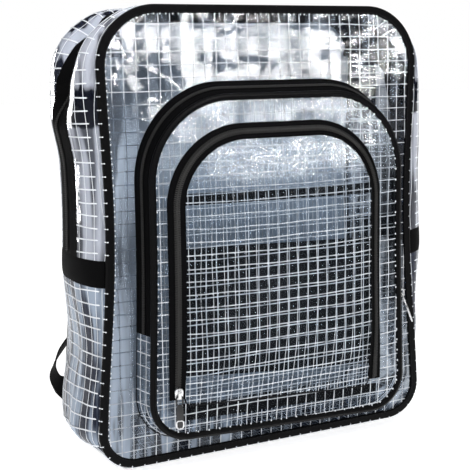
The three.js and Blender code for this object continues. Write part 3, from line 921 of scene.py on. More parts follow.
@dataclass
class Panel:
    """A crowned sheet inside an outline."""

    outline: Outline
    inset: float
    plane: float
    facing: float
    crown: float
    creases: tuple[Crease, ...] = ()
    power: float = 2.5

    def __post_init__(self) -> None:
        """Measures the edge as a radius round the middle."""
        place = self.outline.at(np.linspace(0, 1, 1440, endpoint=False))
        self.edge_x = place.x - self.inset * place.nx
        self.edge_z = place.z - self.inset * place.nz
        self.turns = np.arctan2(self.edge_z - self.outline.middle, self.edge_x)
        self.radii = np.hypot(self.edge_z - self.outline.middle, self.edge_x)

    def fraction(self, x: Array, z: Array) -> Array:
        """How far places lie from the middle, 1 at the edge.

        Args:
            x: Places across.
            z: Places up.

        Returns:
            The fractions.
        """
        up = z - self.outline.middle
        return np.hypot(x, up) / np.interp(np.arctan2(up, x), self.turns, self.radii, period=2 * np.pi)

    def rise(self, x: Array, z: Array) -> Array:
        """The crown over its plane."""
        return self.crown * (1 - np.minimum(self.fraction(x, z), 1.0) ** self.power)

    def surface(self, x: Array, z: Array) -> Array:
        """The plain face's Y over places in the XZ plane."""
        return self.plane + self.facing * self.rise(x, z)

    def folded(self, x: Array, z: Array) -> Array:
        """The face's Y with its creases, which die out at the sewn edge.

        Args:
            x: Places across.
            z: Places up.

        Returns:
            Y.
        """
        fade = 1 - np.minimum(self.fraction(x, z), 1.0) ** 6
        moved = sum((crease.depth_at(x, z) for crease in self.creases), np.zeros_like(x))
        return self.surface(x, z) + self.facing * moved * fade

    def area(self) -> float:
        """The flat area inside its edge, in square metres."""
        turned = np.roll(self.edge_x, -1) * self.edge_z - self.edge_x * np.roll(self.edge_z, -1)
        return float(abs(turned.sum()) / 2e6)

    def sheet(self, face: Face, rings: int = 44, stations: int = 360) -> Shell:
        """The sheet as rings that shrink towards the middle.

        Args:
            face: Y over places in the XZ plane.
            rings: Rings from the middle to the edge.
            stations: Points round a ring.

        Returns:
            The shell.
        """
        pick = np.linspace(0, len(self.edge_x), stations, endpoint=False).astype(int)
        share = np.linspace(0.004, 1.0, rings)[:, None]
        x = share * self.edge_x[pick]
        z = self.outline.middle + share * (self.edge_z[pick] - self.outline.middle)
        shell = grid(stacked(x, face(x, z), z), wrap_columns=True)
        shell.caps.append(list(range(stations)))
        return shell


def even_marks(edge: Array, pitch: float, start: float) -> Array:
    """Marks at an even pitch between the ends of an edge."""
    return np.arange(math.ceil((edge.min() - start) / pitch) * pitch + start, edge.max(), pitch)


@dataclass(frozen=True)
class ThreadGrid:
    """The laminated threads: their pitch, thickness and how straight they lie."""

    across: float = 11.9
    up: float = THREAD_PITCH
    wide: float = 0.55
    thick: float = 0.4
    knot: float = 0.95
    stray: float = 0.5
    step: float = 5.0
    seed: int = 3

    def tubes(self, lines: Sequence[Array], faces: Sequence[Array]) -> Shell:
        """Threads along lines.

        Args:
            lines: Points along each thread.
            faces: The sheet's outward direction along each.

        Returns:
            All threads in one shell.
        """
        section = ellipse(self.wide, self.thick, 5)
        return Shell.joined([sweep(line, face, section) for line, face in zip(lines, faces)])

    def wander(self, rng: np.random.Generator, along: Array, size: float) -> Array:
        """A slow stray from a straight line.

        Args:
            rng: The seeded source.
            along: Places along the thread in millimetres.
            size: The largest stray.

        Returns:
            The stray at each place.
        """
        waves = rng.uniform(60, 240, 3)
        turns = rng.uniform(0, 2 * np.pi, 3)
        return size / 2 * sum(np.sin(2 * np.pi * along / wave + turn) for wave, turn in zip(waves, turns))

    def on_panel(self, panel: Panel, face: Face, shift: Pair) -> tuple[list[Array], list[Array]]:
        """Lines of threads over a panel, from edge to edge.

        Args:
            panel: The panel.
            face: Y over places in the XZ plane.
            shift: Where the grid starts, across and up.

        Returns:
            The lines, and the outward direction along each.
        """
        rng = np.random.default_rng(self.seed)
        lines: list[Array] = []
        spans = (
            (panel.edge_x, panel.edge_z, self.across, shift[0], False),
            (panel.edge_z, panel.edge_x, self.up, shift[1], True),
        )
        for fixed, moving, pitch, start, level in spans:
            for mark in even_marks(fixed, pitch, start):
                samples = np.arange(moving.min(), moving.max(), 1.0)
                places = np.full_like(samples, mark)
                x, z = (samples, places) if level else (places, samples)
                inside = samples[panel.fraction(x, z) <= 1.0]
                if len(inside) < 6:
                    continue
                count = max(6, int(np.ptp(inside) / self.step))
                along = np.linspace(inside[0], inside[-1], count)
                off = mark + self.wander(rng, along, self.stray)
                x, z = (along, off) if level else (off, along)
                lines.append(stacked(x, face(x, z), z))
        faces = [np.tile([0.0, panel.facing, 0.0], (len(line), 1)) for line in lines]
        return lines, faces

    def crossings(self, panel: Panel, face: Face, shift: Pair) -> Shell:
        """Flat knots where the threads of a panel cross.

        Args:
            panel: The panel.
            face: Y over places in the XZ plane.
            shift: Where the grid starts, across and up.

        Returns:
            All knots in one shell.
        """
        spans = ((panel.edge_x, self.across, shift[0]), (panel.edge_z, self.up, shift[1]))
        marks = [even_marks(*span) for span in spans]
        x, z = (part.ravel() for part in np.meshgrid(*marks))
        inside = panel.fraction(x, z) < 0.985
        x, z = x[inside], z[inside]
        return beads(stacked(x, face(x, z), z), self.knot)

    def woven(self, panel: Panel, face: Face, shift: Pair, uprights: "ThreadGrid | None" = None) -> Shell:
        """The threads of a panel, with a knot at each crossing.

        Args:
            panel: The panel.
            face: Y over places in the XZ plane.
            shift: Where the grid starts, across and up.
            uprights: The threads that run up it, by default the same ones.

        Returns:
            All of them in one shell.
        """
        strands = []
        for line, way in zip(*self.on_panel(panel, face, shift)):
            upright = np.ptp(line[:, 2]) > np.ptp(line[:, 0])
            strands.append((uprights if uprights and upright else self).tubes([line], [way]))
        return Shell.joined([*strands, self.crossings(panel, face, shift)])


@dataclass
class Bench:
    """Where meshes become pieces of the shared frame."""

    shift: Vector
    clear_pieces: bpy.types.Collection
    materials: dict[str, bpy.types.Material] = field(default_factory=dict)

    def finish(self, look: object) -> bpy.types.Material:
        """A finish's material, made once."""
        if look.name not in self.materials:
            self.materials[look.name] = look.build()
        return self.materials[look.name]

    def piece(
        self,
        name: str,
        shell: Shell,
        look: object,
        stands_for: Sequence[str] = (),
        body: Body = Body.BAG,
        sharp: float = 50.0,
    ) -> bpy.types.Object:
        """Makes an object from a shell and sets it in the frame.

        Args:
            name: The piece's name.
            shell: Its mesh in millimetres.
            look: Its finish.
            stands_for: The solids that it replaces.
            body: The body that it rides on.
            sharp: Edges steeper than this angle stay sharp.

        Returns:
            The object.
        """
        mesh = bpy.data.meshes.new(name)
        places = shell.points * 0.001 + np.array(self.shift)
        mesh.from_pydata(places.tolist(), [], shell.quads.tolist() + shell.caps)
        layer = mesh.uv_layers.new(name="weave")
        corners = np.zeros((len(mesh.loops), 2))
        corners[: shell.uvs.shape[0] * 4] = shell.uvs.reshape(-1, 2)
        layer.data.foreach_set("uv", corners.ravel())
        mesh.polygons.foreach_set("use_smooth", np.ones(len(mesh.polygons), dtype=bool))
        mesh.set_sharp_from_angle(angle=math.radians(sharp))
        mesh.materials.append(self.finish(look))
        mesh.update()
        thing = bpy.data.objects.new(name, mesh)
        bpy.context.scene.collection.objects.link(thing)
        if isinstance(look, ClearSheet):
            self.clear_pieces.objects.link(thing)
        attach(thing, body.value)
        if stands_for:
            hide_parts(*stands_for)
        log.info("%s: %d faces", name, len(mesh.polygons))
        return thing


# Of the clear finishes, FRONT, SIDE, FORE and BASE carry painted fold shading; FRONT also painted edge shade
# and sheen, SIDE and BASE painted shade at the back seam, BASE painted shade near the floor, and POCKET painted
# sheen.
CLEAR = ClearSheet()
FRONT = ClearSheet("front_film", (0.006, 0.009, 0.016), (0.40, 0.47, 0.57), film=0.05, cloud=0.10, index=1.36,
                   edge=0.8, fold_shade=0.8, painted_sheen=0.7, sheen_way=(1.0, 0.0, 0.33), sheen_span=(-0.015, -0.065),
                   sheen_stretch=0.1)
POCKET = ClearSheet("pocket_film", (0.10, 0.13, 0.17), (0.50, 0.56, 0.63), film=0.012, cloud=0.01, rim=0.12,
                    index=1.14, painted_sheen=0.4, sheen_span=(0.284, 0.325))
SIDE = ClearSheet("side_film", (0.006, 0.008, 0.018), (0.56, 0.60, 0.70), film=0.9, cloud=-0.25, index=1.2,
                  fold_shade=1.0, grain=50, back=0.6)
FORE = ClearSheet("fore_film", (0.004, 0.005, 0.010), (0.60, 0.63, 0.72), film=0.9, cloud=-0.25, index=1.2,
                  fold_shade=0.8, grain=50, belt=(0.350, 0.395))
BASE = ClearSheet("base_film", (0.008, 0.012, 0.028), (0.44, 0.52, 0.64), film=0.95, cloud=-0.3, index=1.2,
                  fold_shade=1.0, grain=55, foot=0.6, back=0.7)
THREAD = WhiteThread()
FRONT_THREAD = WhiteThread("front_thread", shade=1.0)
POCKET_THREAD = WhiteThread("pocket_thread", shade=0.45, shade_span=(1.0, 0.9), shade_low=(0.22, 0.27),
                            shade_high=(0.6, 0.55), shade_colour=(0.33, 0.40, 0.48))
THREAD_END = WhiteThread("thread_end", faintest=0.3, spread=1.4)
EDGE_TAPE = BlackWeave("black_edge_tape", rib=0.9, cross=1.2, rough=0.28, gloss=0.06)
ZIP_TAPE = BlackWeave("black_zip_tape", rib=1.2, cross=0.8)
WEBBING_WEAVE = BlackWeave("black_webbing", rib=2.2, cross=1.5, depth=0.0005)
PAD_CLOTH = BlackWeave("black_pad_cloth", rib=1.6, cross=1.6, depth=0.0004, rough=0.7, sheen=0.05)
LINING = BlackWeave("black_lining", rib=0.8, cross=0.8, rough=0.6)
SEWING = BlackWeave("black_sewing_thread", rib=0.5, cross=0.5, light=(0.03, 0.03, 0.032), rough=0.45)
PALE = PaleCloth()
METAL = PlatedMetal()
COIL = BlackPlastic("zip_coil_nylon", (0.004, 0.004, 0.004), (0.014, 0.013, 0.012), rough=0.5)
PLASTIC = BlackPlastic("buckle_plastic")


class Patch(NamedTuple):
    """A stretch of the gusset: parameters at its ends, and shares of the depth at its edges."""

    first: float
    last: float
    near: float
    far: float


@dataclass
class MainBody:
    """The bag's front, back and gusset with their edge tapes."""

    width: float = 370
    height: float = 457
    depth: float = 122
    lift: float = 11
    taper: float = 0.048
    top_corner: float = 58
    bottom_corner: float = 35
    bow: float = 9.4
    tape_width: float = 9
    tape_thick: float = 5
    front_crown: float = 7
    back_crown: float = 6
    back_thick: float = 6
    top_bulge: float = 7
    bottom_bulge: float = 18
    corner_draw: float = 12
    bulge_power: float = 0.45
    zip_width: float = 50
    zip_place: float = 0.485
    sag_reach: float = 0.22
    band_height: float = 209
    band_tall: float = 27
    stitch: float = 2.9
    stitch_pitch: float = 4.2
    stitch_inset: float = 2.9
    front_flat: Pair = (0.361, 0.448)
    side_bulge: tuple[tuple[float, float, float], ...] = (
        (0, 22, 19), (60, 17, 16), (120, 12, 28), (210, 25, 43.5), (310, 24, 40.5), (370, 31, 36.5),
        (470, 22, 20),
    )
    zip_sag: tuple[Pair, ...] = ((350, 0), (390, 20), (425, 50), (446, 58), (463, 17))

    def __post_init__(self) -> None:
        """Derives the outline, the panels and the gusset's span."""
        self.outline = Outline(
            half=(self.width - self.tape_width) / 2,
            bottom=self.lift + self.tape_width / 2,
            top=self.lift + self.height - self.tape_width / 2,
            top_radius=self.top_corner,
            bottom_radius=self.bottom_corner,
            bow=self.bow,
            taper=self.taper,
        )
        inset = self.tape_width / 2 + GAP
        self.front = Panel(self.outline, inset - 1.2, -SHEET / 2, -1, self.front_crown, FRONT_CREASES)
        self.back = Panel(self.outline, inset, self.depth + SHEET, 1, self.back_crown)
        self.start = self.tape_thick / 2 + GAP
        self.end = self.depth - self.tape_thick / 2 - GAP
        self.span = self.end - self.start
        self.zip_front = self.zip_place - self.zip_width / 2 / self.span
        self.zip_back = self.zip_place + self.zip_width / 2 / self.span

    def bulge(self, place: Places, share: Array) -> Array:
        """How far the gusset stands out from the seam line.

        Args:
            place: Places on the outline.
            share: Shares of the depth.

        Returns:
            The stand-out in millimetres.
        """
        left, right = (spread(self.side_bulge, column, place.z) for column in (1, 2))
        sides = np.where(place.x < 0, left, right)
        ends = np.where(place.nz > 0, self.top_bulge, self.bottom_bulge)
        corner = np.where(place.nz < 0, self.corner_draw * (2 * place.nx * place.nz) ** 2, 0)
        full = place.nx**2 * sides + place.nz**2 * ends - corner
        drawn = spread(self.zip_sag, 1, place.z) * np.exp(-(((share - self.zip_place) / self.sag_reach) ** 2))
        return (full - drawn) * np.maximum(4 * share * (1 - share), 0) ** self.bulge_power

    def crumple(self, place: Places, share: Array) -> Array:
        """Soft folds that the gusset has where it is slack, none at its seams.

        Args:
            place: Places on the outline.
            share: Shares of the depth.

        Returns:
            The move in millimetres.
        """
        low = np.exp(-((place.z / 95) ** 2)) * place.nx**2
        wave = np.sin(place.z / 9.0 + share * 7) + np.sin(place.z / 15.0 - share * 11 + place.x / 40)
        long = np.sin(share * 19 + place.z / 70) * 0.6
        return (low * wave * 1.1 + long * place.nx**2) * np.maximum(4 * share * (1 - share), 0)

    def point(self, parameter: Array, share: Array, lift: Array | float = 0.0, soft: bool = False) -> Array:
        """Points of the gusset; its bottom is flattened where it stands.

        Args:
            parameter: How far round the outline.
            share: Shares of the depth.
            lift: How far off the face.
            soft: Whether the folds are added.

        Returns:
            The points.
        """
        place = self.outline.at(parameter)
        out = self.bulge(place, share) + lift
        if soft:
            out = out + self.crumple(place, share)
        x = place.x + out * place.nx
        z = np.maximum(place.z + out * place.nz, 0.05)
        y = self.start + self.span * share
        return stacked(x, y, z)

    def stops(self, side: Side) -> Pair:
        """The parameters at a cross band's bottom and top.

        Args:
            side: Which band.

        Returns:
            Bottom and top.
        """
        heights = (self.band_height - self.band_tall / 2, self.band_height + self.band_tall / 2)
        return self.outline.at_height(heights[0], side), self.outline.at_height(heights[1], side)

    def strip(self, patch: Patch, columns: int) -> Shell:
        """One sheet of the gusset.

        Args:
            patch: Which stretch.
            columns: Points across it.

        Returns:
            The shell.
        """
        first, last, near, far = patch
        rows = max(24, int((last - first) * 420))
        along = np.linspace(first, last, rows)[:, None]
        share = near + (far - near) * (0.5 - 0.5 * np.cos(np.linspace(0, np.pi, columns)))
        return grid(self.point(along, share[None, :], 0.0, True)[:, ::-1])

    def threads(self, patch: Patch) -> Shell:
        """The threads on one sheet of the gusset, finer along it than across.

        Args:
            patch: Which stretch.

        Returns:
            The shell.
        """
        first, last, near, far = patch
        rng = np.random.default_rng(11)
        fine = np.linspace(0, 1, 400)
        marks = distances(self.point(np.array(0.3), fine), False)
        pitches = np.arange(9.0, marks[-1] - 5, THREAD_PITCH)
        shares = [share for share in np.interp(pitches, marks, fine) if near < share < far]
        way = self.outline.length()
        samples = np.linspace(first, last, max(20, int((last - first) * way / 6)))
        grid_lines = ThreadGrid()
        lines = []
        for share in shares:
            off = grid_lines.wander(rng, samples * way, 0.6) / self.span
            lines.append((samples, np.clip(share + off, near, far)))
        across = np.linspace(near, far, max(5, int((far - near) * self.span / 4)))
        for mark in np.arange(first + 4 / way, last, THREAD_PITCH / way):
            place = self.outline.at(np.array(mark))
            low = np.exp(-((place.z / 170) ** 2))
            skew = -place.nx * low * 0.10 * across * self.span
            off = grid_lines.wander(rng, across * self.span, 0.8)
            lines.append((mark + (skew + off) / way, across))
        points = [self.point(u, share, 0.2, True) for u, share in lines]
        faces = [self.outline.at(u).out for u, _ in lines]
        fine, bold = ThreadGrid(wide=0.34, thick=0.3), ThreadGrid(wide=0.75, thick=0.45)
        pairs = list(zip(points, faces))
        bottom = [face[0, 2] < -0.6 for face in faces]
        thin = [pair for pair, under in zip(pairs, bottom) if under or len(pair[0]) == len(samples)]
        thick = [pair for pair, under in zip(pairs, bottom) if not under and len(pair[0]) != len(samples)]
        weights = ((fine, thin), (bold, thick))
        return Shell.joined([weight.tubes(*zip(*some)) for weight, some in weights if some])

    def edge_tape(self, plane: float) -> tuple[Shell, Shell]:
        """The black tape folded over one seam, and its stitches.

        Args:
            plane: Y of the seam.

        Returns:
            The tape and the stitches.
        """
        place = self.outline.at(np.linspace(0, 1, 720, endpoint=False))
        section = ellipse(self.tape_width / 2, self.tape_thick / 2, 22, 0.62)
        crease = 0.45 * np.exp(-(((section[:, 0] - 1.4) / 0.8) ** 2))
        section[:, 1] -= np.sign(section[:, 1]) * crease
        middle = place.away(0.0, plane)
        back = np.array([0.0, 1.0, 0.0])
        points = middle[:, None] + section[None, :, :1] * place.out[:, None] + section[None, :, 1:] * back
        tape = grid(points, wrap_rows=True, wrap_columns=True)
        way = self.outline.length()
        marks = np.arange(0, 1, self.stitch_pitch / way)
        rows = []
        for face in (-1, 1):
            y = plane + face * (self.tape_thick / 2 - 0.25)
            both = (marks, marks + self.stitch / way)
            ends = [self.outline.at(mark).away(-self.stitch_inset, y) for mark in both]
            rows.append(capsules(*ends, 0.42))
        return tape, Shell.joined(rows)

    def thread_ends(self) -> Shell:
        """Ends of threads on the front tape: stubs over its outer edge and dots along its inner one.

        Returns:
            The shell.
        """
        way = self.outline.length()
        low_right, high_right = self.stops(Side.RIGHT)
        low_left, high_left = self.stops(Side.LEFT)
        spans = ((high_right, high_left), (low_left, 1 + low_right))
        marks = np.concatenate([np.arange(first + 4 / way, last, THREAD_PITCH / way) for first, last in spans])
        half = self.tape_width / 2
        place = self.outline.at(marks)
        place = self.outline.at(marks[place.nz < 0.35])
        ends = [place.away(half + 0.5, 0.4), place.away(half - 1.7, -self.tape_thick / 2 + 0.1)]
        rng = np.random.default_rng(17)
        inner = np.arange(0.001, 1, THREAD_PITCH / 2 / way)
        place = self.outline.at(inner)
        inner = inner[(place.nz > -0.5) & (place.nx < 0.3)]
        place = self.outline.at(inner + rng.uniform(-1.2, 1.2, len(inner)) / way)
        dots = place.away(-half - 0.2, -1.5)
        return Shell.joined([capsules(*ends, 0.65), beads(dots, 0.85)])

    def back_pad(self) -> Shell:
        """The padded back as a closed, crowned form.

        Returns:
            The shell.
        """
        pick = np.linspace(0, len(self.back.edge_x), 300, endpoint=False).astype(int)
        rings = np.concatenate([np.linspace(0.01, 0.9, 26), np.linspace(0.92, 1.0, 9)])
        middle = self.outline.middle

        def ring_points(share: float, wall: float) -> Array:
            """One ring of the pad, sunk by a wall."""
            x = share * self.back.edge_x[pick]
            z = middle + share * (self.back.edge_z[pick] - middle)
            ripple = 0.25 * np.sin(x / 23) * np.sin(z / 31) * (1 - share**4)
            y = self.back.surface(x, z) + (ripple if wall == 0 else 0) - wall
            return np.stack([x, y, z], axis=1)

        outer = [ring_points(share, 0.0) for share in rings]
        walls = SHEET * 2 + (self.back_thick - SHEET * 2) * np.sqrt(1 - np.minimum(rings, 1.0) ** 8)
        inner = [ring_points(share, wall) for share, wall in zip(rings, walls)]
        return grid(np.stack(inner + outer[::-1])[:, ::-1], wrap_columns=True, capped=True)

    def build(self, bench: Bench) -> None:
        """Makes and dresses the body.

        Args:
            bench: Where pieces are made.
        """
        low_right, high_right = self.stops(Side.RIGHT)
        low_left, high_left = self.stops(Side.LEFT)
        upper = (high_right, high_left)
        shell = self.front.sheet(self.front.folded)
        sheet = bench.piece("front_sheet", shell, FRONT, ["front_panel"])
        woven = ThreadGrid().woven(self.front, self.front.folded, (1.5, 4.0))
        threads = bench.piece("front_threads", woven, FRONT_THREAD)
        self.front.area()
        pad = bench.piece("back_pad", self.back_pad(), PALE, ["back_panel"])
        gusset = (
            ("gusset_front_strip", Patch(*upper, 0.0, self.zip_front), 9, "gusset_upper_front", FORE),
            ("gusset_back_strip", Patch(*upper, self.zip_back, 1.0), 9, "gusset_upper_back", SIDE),
            ("gusset_base", Patch(low_left, 1 + low_right, 0.0, 1.0), 33, "gusset_lower", BASE),
        )
        for name, patch, columns, node, look in gusset:
            strip = bench.piece(name, self.strip(patch, columns), look, [node])
            threads = bench.piece(f"{name}_threads", self.threads(patch), THREAD_END)
            self.flat_size(patch)
        tapes = (("front_tape", 0.0, "front_binding"), ("back_tape", self.depth, "back_binding"))
        for name, plane, node in tapes:
            tape, stitches = self.edge_tape(plane)
            bench.piece(name, tape, EDGE_TAPE, [node])
            bench.piece(f"{name}_stitches", stitches, SEWING)
        bench.piece("front_tape_ends", self.thread_ends(), THREAD_END)
        for side in Side:
            bench.piece(f"band_{side.name.lower()}", self.cross_band(side), ZIP_TAPE,
                        [f"cross_band_{side.name.lower()}"])
        edges = (self.zip_front, self.zip_back)
        tape = band_shell(self.point, upper, edges, 0.0, -TAPE, 340, 15, self.zip_place)
        bench.piece("main_zip_band", tape, ZIP_TAPE, ["main_zip_tape"])
        coil = 3.5 / self.span
        teeth = zip_teeth(self.point, upper, self.zip_place, coil, 1.1, 0.75, self.outline.length(), 2.2)
        bench.piece("main_zip_teeth", teeth, COIL, ["main_zip_coil"])
        bench.piece("main_zip_runner", self.runner(), METAL, ["main_zip_slider"], sharp=40)

    def flat_size(self, patch: Patch) -> Pair:
        """The flat width and length of a strip of the gusset, in metres.

        Args:
            patch: Which stretch.

        Returns:
            Width and length.
        """
        first, last, near, far = patch
        middle = np.array((first + last) / 2)
        across = distances(self.point(middle, np.linspace(near, far, 80)), False)[-1]
        along = distances(self.point(np.linspace(first, last, 300), np.array((near + far) / 2)), False)[-1]
        return float(across) / 1000, float(along) / 1000

    def cross_band(self, side: Side) -> Shell:
        """A black band where the main zip ends.

        Args:
            side: Which side.

        Returns:
            The shell.
        """
        low, high = self.stops(side)
        rows = np.linspace(low, high, 14)[:, None]
        share = 0.5 - 0.5 * np.cos(np.linspace(0, np.pi, 30))[None, :]
        rounded = 0.5 * (1 - np.abs(np.linspace(-1, 1, 14))[:, None] ** 6)
        outer = self.point(rows, share, rounded)
        inner = self.point(rows, share, -TAPE)
        return grid(np.concatenate([outer, inner[:, ::-1]], axis=1), wrap_columns=True, capped=True)

    def runner(self) -> Shell:
        """The hidden slider of the main zip, a plain rounded block.

        Returns:
            The shell.
        """
        bottom = self.band_height + self.band_tall / 2 + 3
        stops = [self.outline.at_height(bottom + rise, Side.RIGHT) for rise in (0, 1, 11, 12)]
        half = 4.5 / self.span
        layers = []
        for stop, narrow in zip(stops, (0.7, 1.0, 1.0, 0.7)):
            shares = self.zip_place + half * narrow * np.array([-1, -0.85, 0.85, 1, 0.85, -0.85])
            lifts = 2.7 + 3.2 * np.array([0.3, 1, 1, 0.3, 0, 0])
            layers.append(self.point(np.array(stop), shares, lifts))
        return grid(np.stack(layers), wrap_columns=True, capped=True)


def band_shell(
    point: BandPoint,
    ends: Pair,
    edges: Pair,
    outer: float,
    inner: float,
    rows: int,
    columns: int,
    coil: float,
) -> Shell:
    """A zip's tape, with a raised cord on either side of its coil.

    Args:
        point: Points of the band from a parameter, a share across and a lift.
        ends: Parameters at its ends.
        edges: Shares at its edges.
        outer: Lift of its outer face.
        inner: Lift of its inner face.
        rows: Points along it.
        columns: Points across it.
        coil: Share at the coil's middle.

    Returns:
        The shell.
    """
    along = np.linspace(*ends, rows)[:, None]
    share = np.linspace(*edges, columns)[None, :]
    reach = abs(edges[1] - edges[0])
    off = np.abs(share - coil) / reach
    relief = 0.35 * np.exp(-(((off - 0.2) / 0.05) ** 2)) + 0.25 * np.exp(-(((off - 0.42) / 0.04) ** 2))
    top = point(along, share, outer + relief)
    under = point(along, share, inner)
    return grid(np.concatenate([top, under[:, ::-1]], axis=1), wrap_columns=True, capped=True)


def zip_teeth(
    point: BandPoint,
    ends: Pair,
    place: float,
    half: float,
    lift: float,
    radius: float,
    way: float,
    pitch: float,
) -> Shell:
    """A coil's two rows of interlocked teeth.

    Args:
        point: Points of the band from a parameter, a share across and a lift.
        ends: Parameters at the coil's ends.
        place: Share at the coil's middle.
        half: Half the coil's width as a share.
        lift: Height of the teeth's middles off the band.
        radius: Half a tooth's thickness.
        way: Length of the outline, for the pitch.
        pitch: Distance between teeth of one row.

    Returns:
        All teeth in one shell.
    """
    rows = []
    for way_out, start in ((-1, 0.0), (1, 0.5)):
        marks = np.arange(ends[0] + (start + 1) * pitch / way, ends[1] - pitch / way, pitch / way)
        outer = point(marks, np.full_like(marks, place + way_out * half * 0.86), lift)
        meet = np.full_like(marks, place - way_out * half * 0.12)
        inner = point(marks + 0.35 * pitch / way, meet, lift + 0.35)
        rows.append(capsules(outer, inner, radius))
    return Shell.joined(rows)


@dataclass
class MiddlePocket:
    """The large front pocket: its face, piping, zip band and clear foot."""

    body: MainBody
    stand: float = 32
    piping: float = 3.5
    crown: float = 9
    flare_left: float = 7
    flare_right: float = 15
    flare_top: float = 14
    flare_bottom: float = 10
    zip_end: float = 150
    coil_half: float = 2.5
    runner_height: float = 158
    runner_lean: float = 20
    flat: Pair = (0.282, 0.336)
    foot_flat: float = 0.034
    outline: Outline = Outline(140.8, 43, 378.6, 82, 38, bow=2, taper=0.039, slant=-0.033)

    def __post_init__(self) -> None:
        """Derives the face and the zip's ends."""
        self.face = Panel(self.outline, self.piping - 0.9, -self.stand - SHEET / 2, -1, self.crown, MID_CREASES)
        self.ends = tuple(self.outline.at_height(self.zip_end, side) for side in Side)

    def band_point(self, parameter: Array, share: Array, lift: Array | float = 0.0) -> Array:
        """Points of the band round the pocket: share 0 is its foot on the front sheet, 1 its piping.

        Args:
            parameter: How far round the outline.
            share: Shares of the way from foot to piping.
            lift: How far off the face.

        Returns:
            The points.
        """
        place = self.outline.at(parameter)
        ends = np.where(place.nz > 0, self.flare_top, self.flare_bottom)
        sides = np.where(place.nx > 0, self.flare_right, self.flare_left)
        flare = place.nx**2 * sides + place.nz**2 * ends
        out = flare * (1 - share) + lift
        x, z = place.x + out * place.nx, place.z + out * place.nz
        foot = self.body.front.surface(x, z) - SEAT
        head = -self.stand + self.piping + GAP
        y = foot + (head - foot) * share
        return stacked(x, y, z)

    def piping_ring(self) -> Shell:
        """The covered cord round the face, with a fold on either side of its crest.

        Returns:
            The shell.
        """
        place = self.outline.at(np.linspace(0, 1, 640, endpoint=False))
        turn = np.linspace(0, 2 * np.pi, 26, endpoint=False)
        groove = sum(0.5 * np.exp(-(((turn - mark) / 0.2) ** 2)) for mark in (1.05, 2.2))
        radius = self.piping - groove
        middle = place.away(0.0, -self.stand)
        ahead = np.array([0.0, -1.0, 0.0])
        points = middle[:, None] + (radius * np.cos(turn))[None, :, None] * place.out[:, None]
        points = points + (radius * np.sin(turn))[None, :, None] * ahead
        return grid(points, wrap_rows=True, wrap_columns=True)

    def foot_threads(self) -> tuple[list[Array], list[Array]]:
        """Lines of threads on the clear foot below the zip.

        Returns:
            The lines, and the outward direction along each.
        """
        right, left = self.ends
        way = self.outline.length()
        across = np.linspace(0.0, 1.0, 9)
        lines = [(mark, across) for mark in np.arange(left + 6 / way, 1 + right, THREAD_PITCH / way)]
        along = np.linspace(left, 1 + right, 110)
        lines += [(along, np.full_like(along, share)) for share in (0.25, 0.62)]
        points = [self.band_point(np.asarray(u), share, 0.2) for u, share in lines]
        faces = [self.outline.at(np.broadcast_to(u, share.shape)).out for u, share in lines]
        return points, faces

    def knots(self) -> Array:
        """Where thread ends show along the piping.

        Returns:
            The places of the knots.
        """
        way = self.outline.length()
        marks = np.arange(0.002, 1, 11.6 / way)
        return self.outline.at(marks).away(-self.piping - 0.1, -self.stand - 1.2)

    def build(self, bench: Bench) -> None:
        """Makes and dresses the pocket.

        Args:
            bench: Where pieces are made.
        """
        right, left = self.ends
        weave = ThreadGrid(across=11.2, seed=5)
        shell = self.face.sheet(self.face.folded)
        face = bench.piece("pocket_face", shell, POCKET, ["mid_pocket_panel"])
        woven = weave.woven(self.face, self.face.folded, (2.0, 7.0))
        threads = bench.piece("pocket_face_threads", woven, POCKET_THREAD)
        self.face.area()
        bench.piece("pocket_piping", self.piping_ring(), EDGE_TAPE, ["mid_pocket_piping"])
        bench.piece("pocket_piping_knots", beads(self.knots(), 0.9), THREAD_END)
        tape = band_shell(self.band_point, (right, left), (0.0, 1.0), TAPE / 2, -TAPE / 2, 320, 25, 0.5)
        bench.piece("pocket_zip_band", tape, ZIP_TAPE, ["mid_pocket_zip_tape"])
        way = self.outline.length()
        half = self.coil_half / self.stand
        teeth = zip_teeth(self.band_point, (right, left), 0.5, half, 1.7, 0.62, way, 1.7)
        bench.piece("pocket_zip_teeth", teeth, COIL, ["mid_pocket_zip_coil"])
        along = np.linspace(left + 0.5 / way, 1 + right - 0.5 / way, 220)[:, None]
        seam = self.band_point(along[:, 0], np.full(220, 0.02), 0.4)
        cord = sweep(seam, np.tile([0.0, -1.0, 0.0], (220, 1)), ellipse(0.55, 0.5, 6))
        bench.piece("pocket_foot_seam", cord, SEWING)
        foot = grid(self.band_point(along, np.linspace(0, 1, 14)[None, :])[:, ::-1])
        strip = bench.piece("pocket_foot", foot, CLEAR, ["mid_pocket_gusset"])
        lines, faces = self.foot_threads()
        threads = bench.piece("pocket_foot_threads", weave.tubes(lines, faces), THREAD)
        long = distances(self.band_point(along[:, 0], np.full(220, 0.5)), False)[-1] / 1000
        runner = ZipRunner("pocket", self.band_point, self.outline, self.runner_height, Side.RIGHT, 3.2,
                           (1, 0, 0), lean=self.runner_lean)
        runner.build(bench, "mid")
        runner.build_metal_tab(bench)


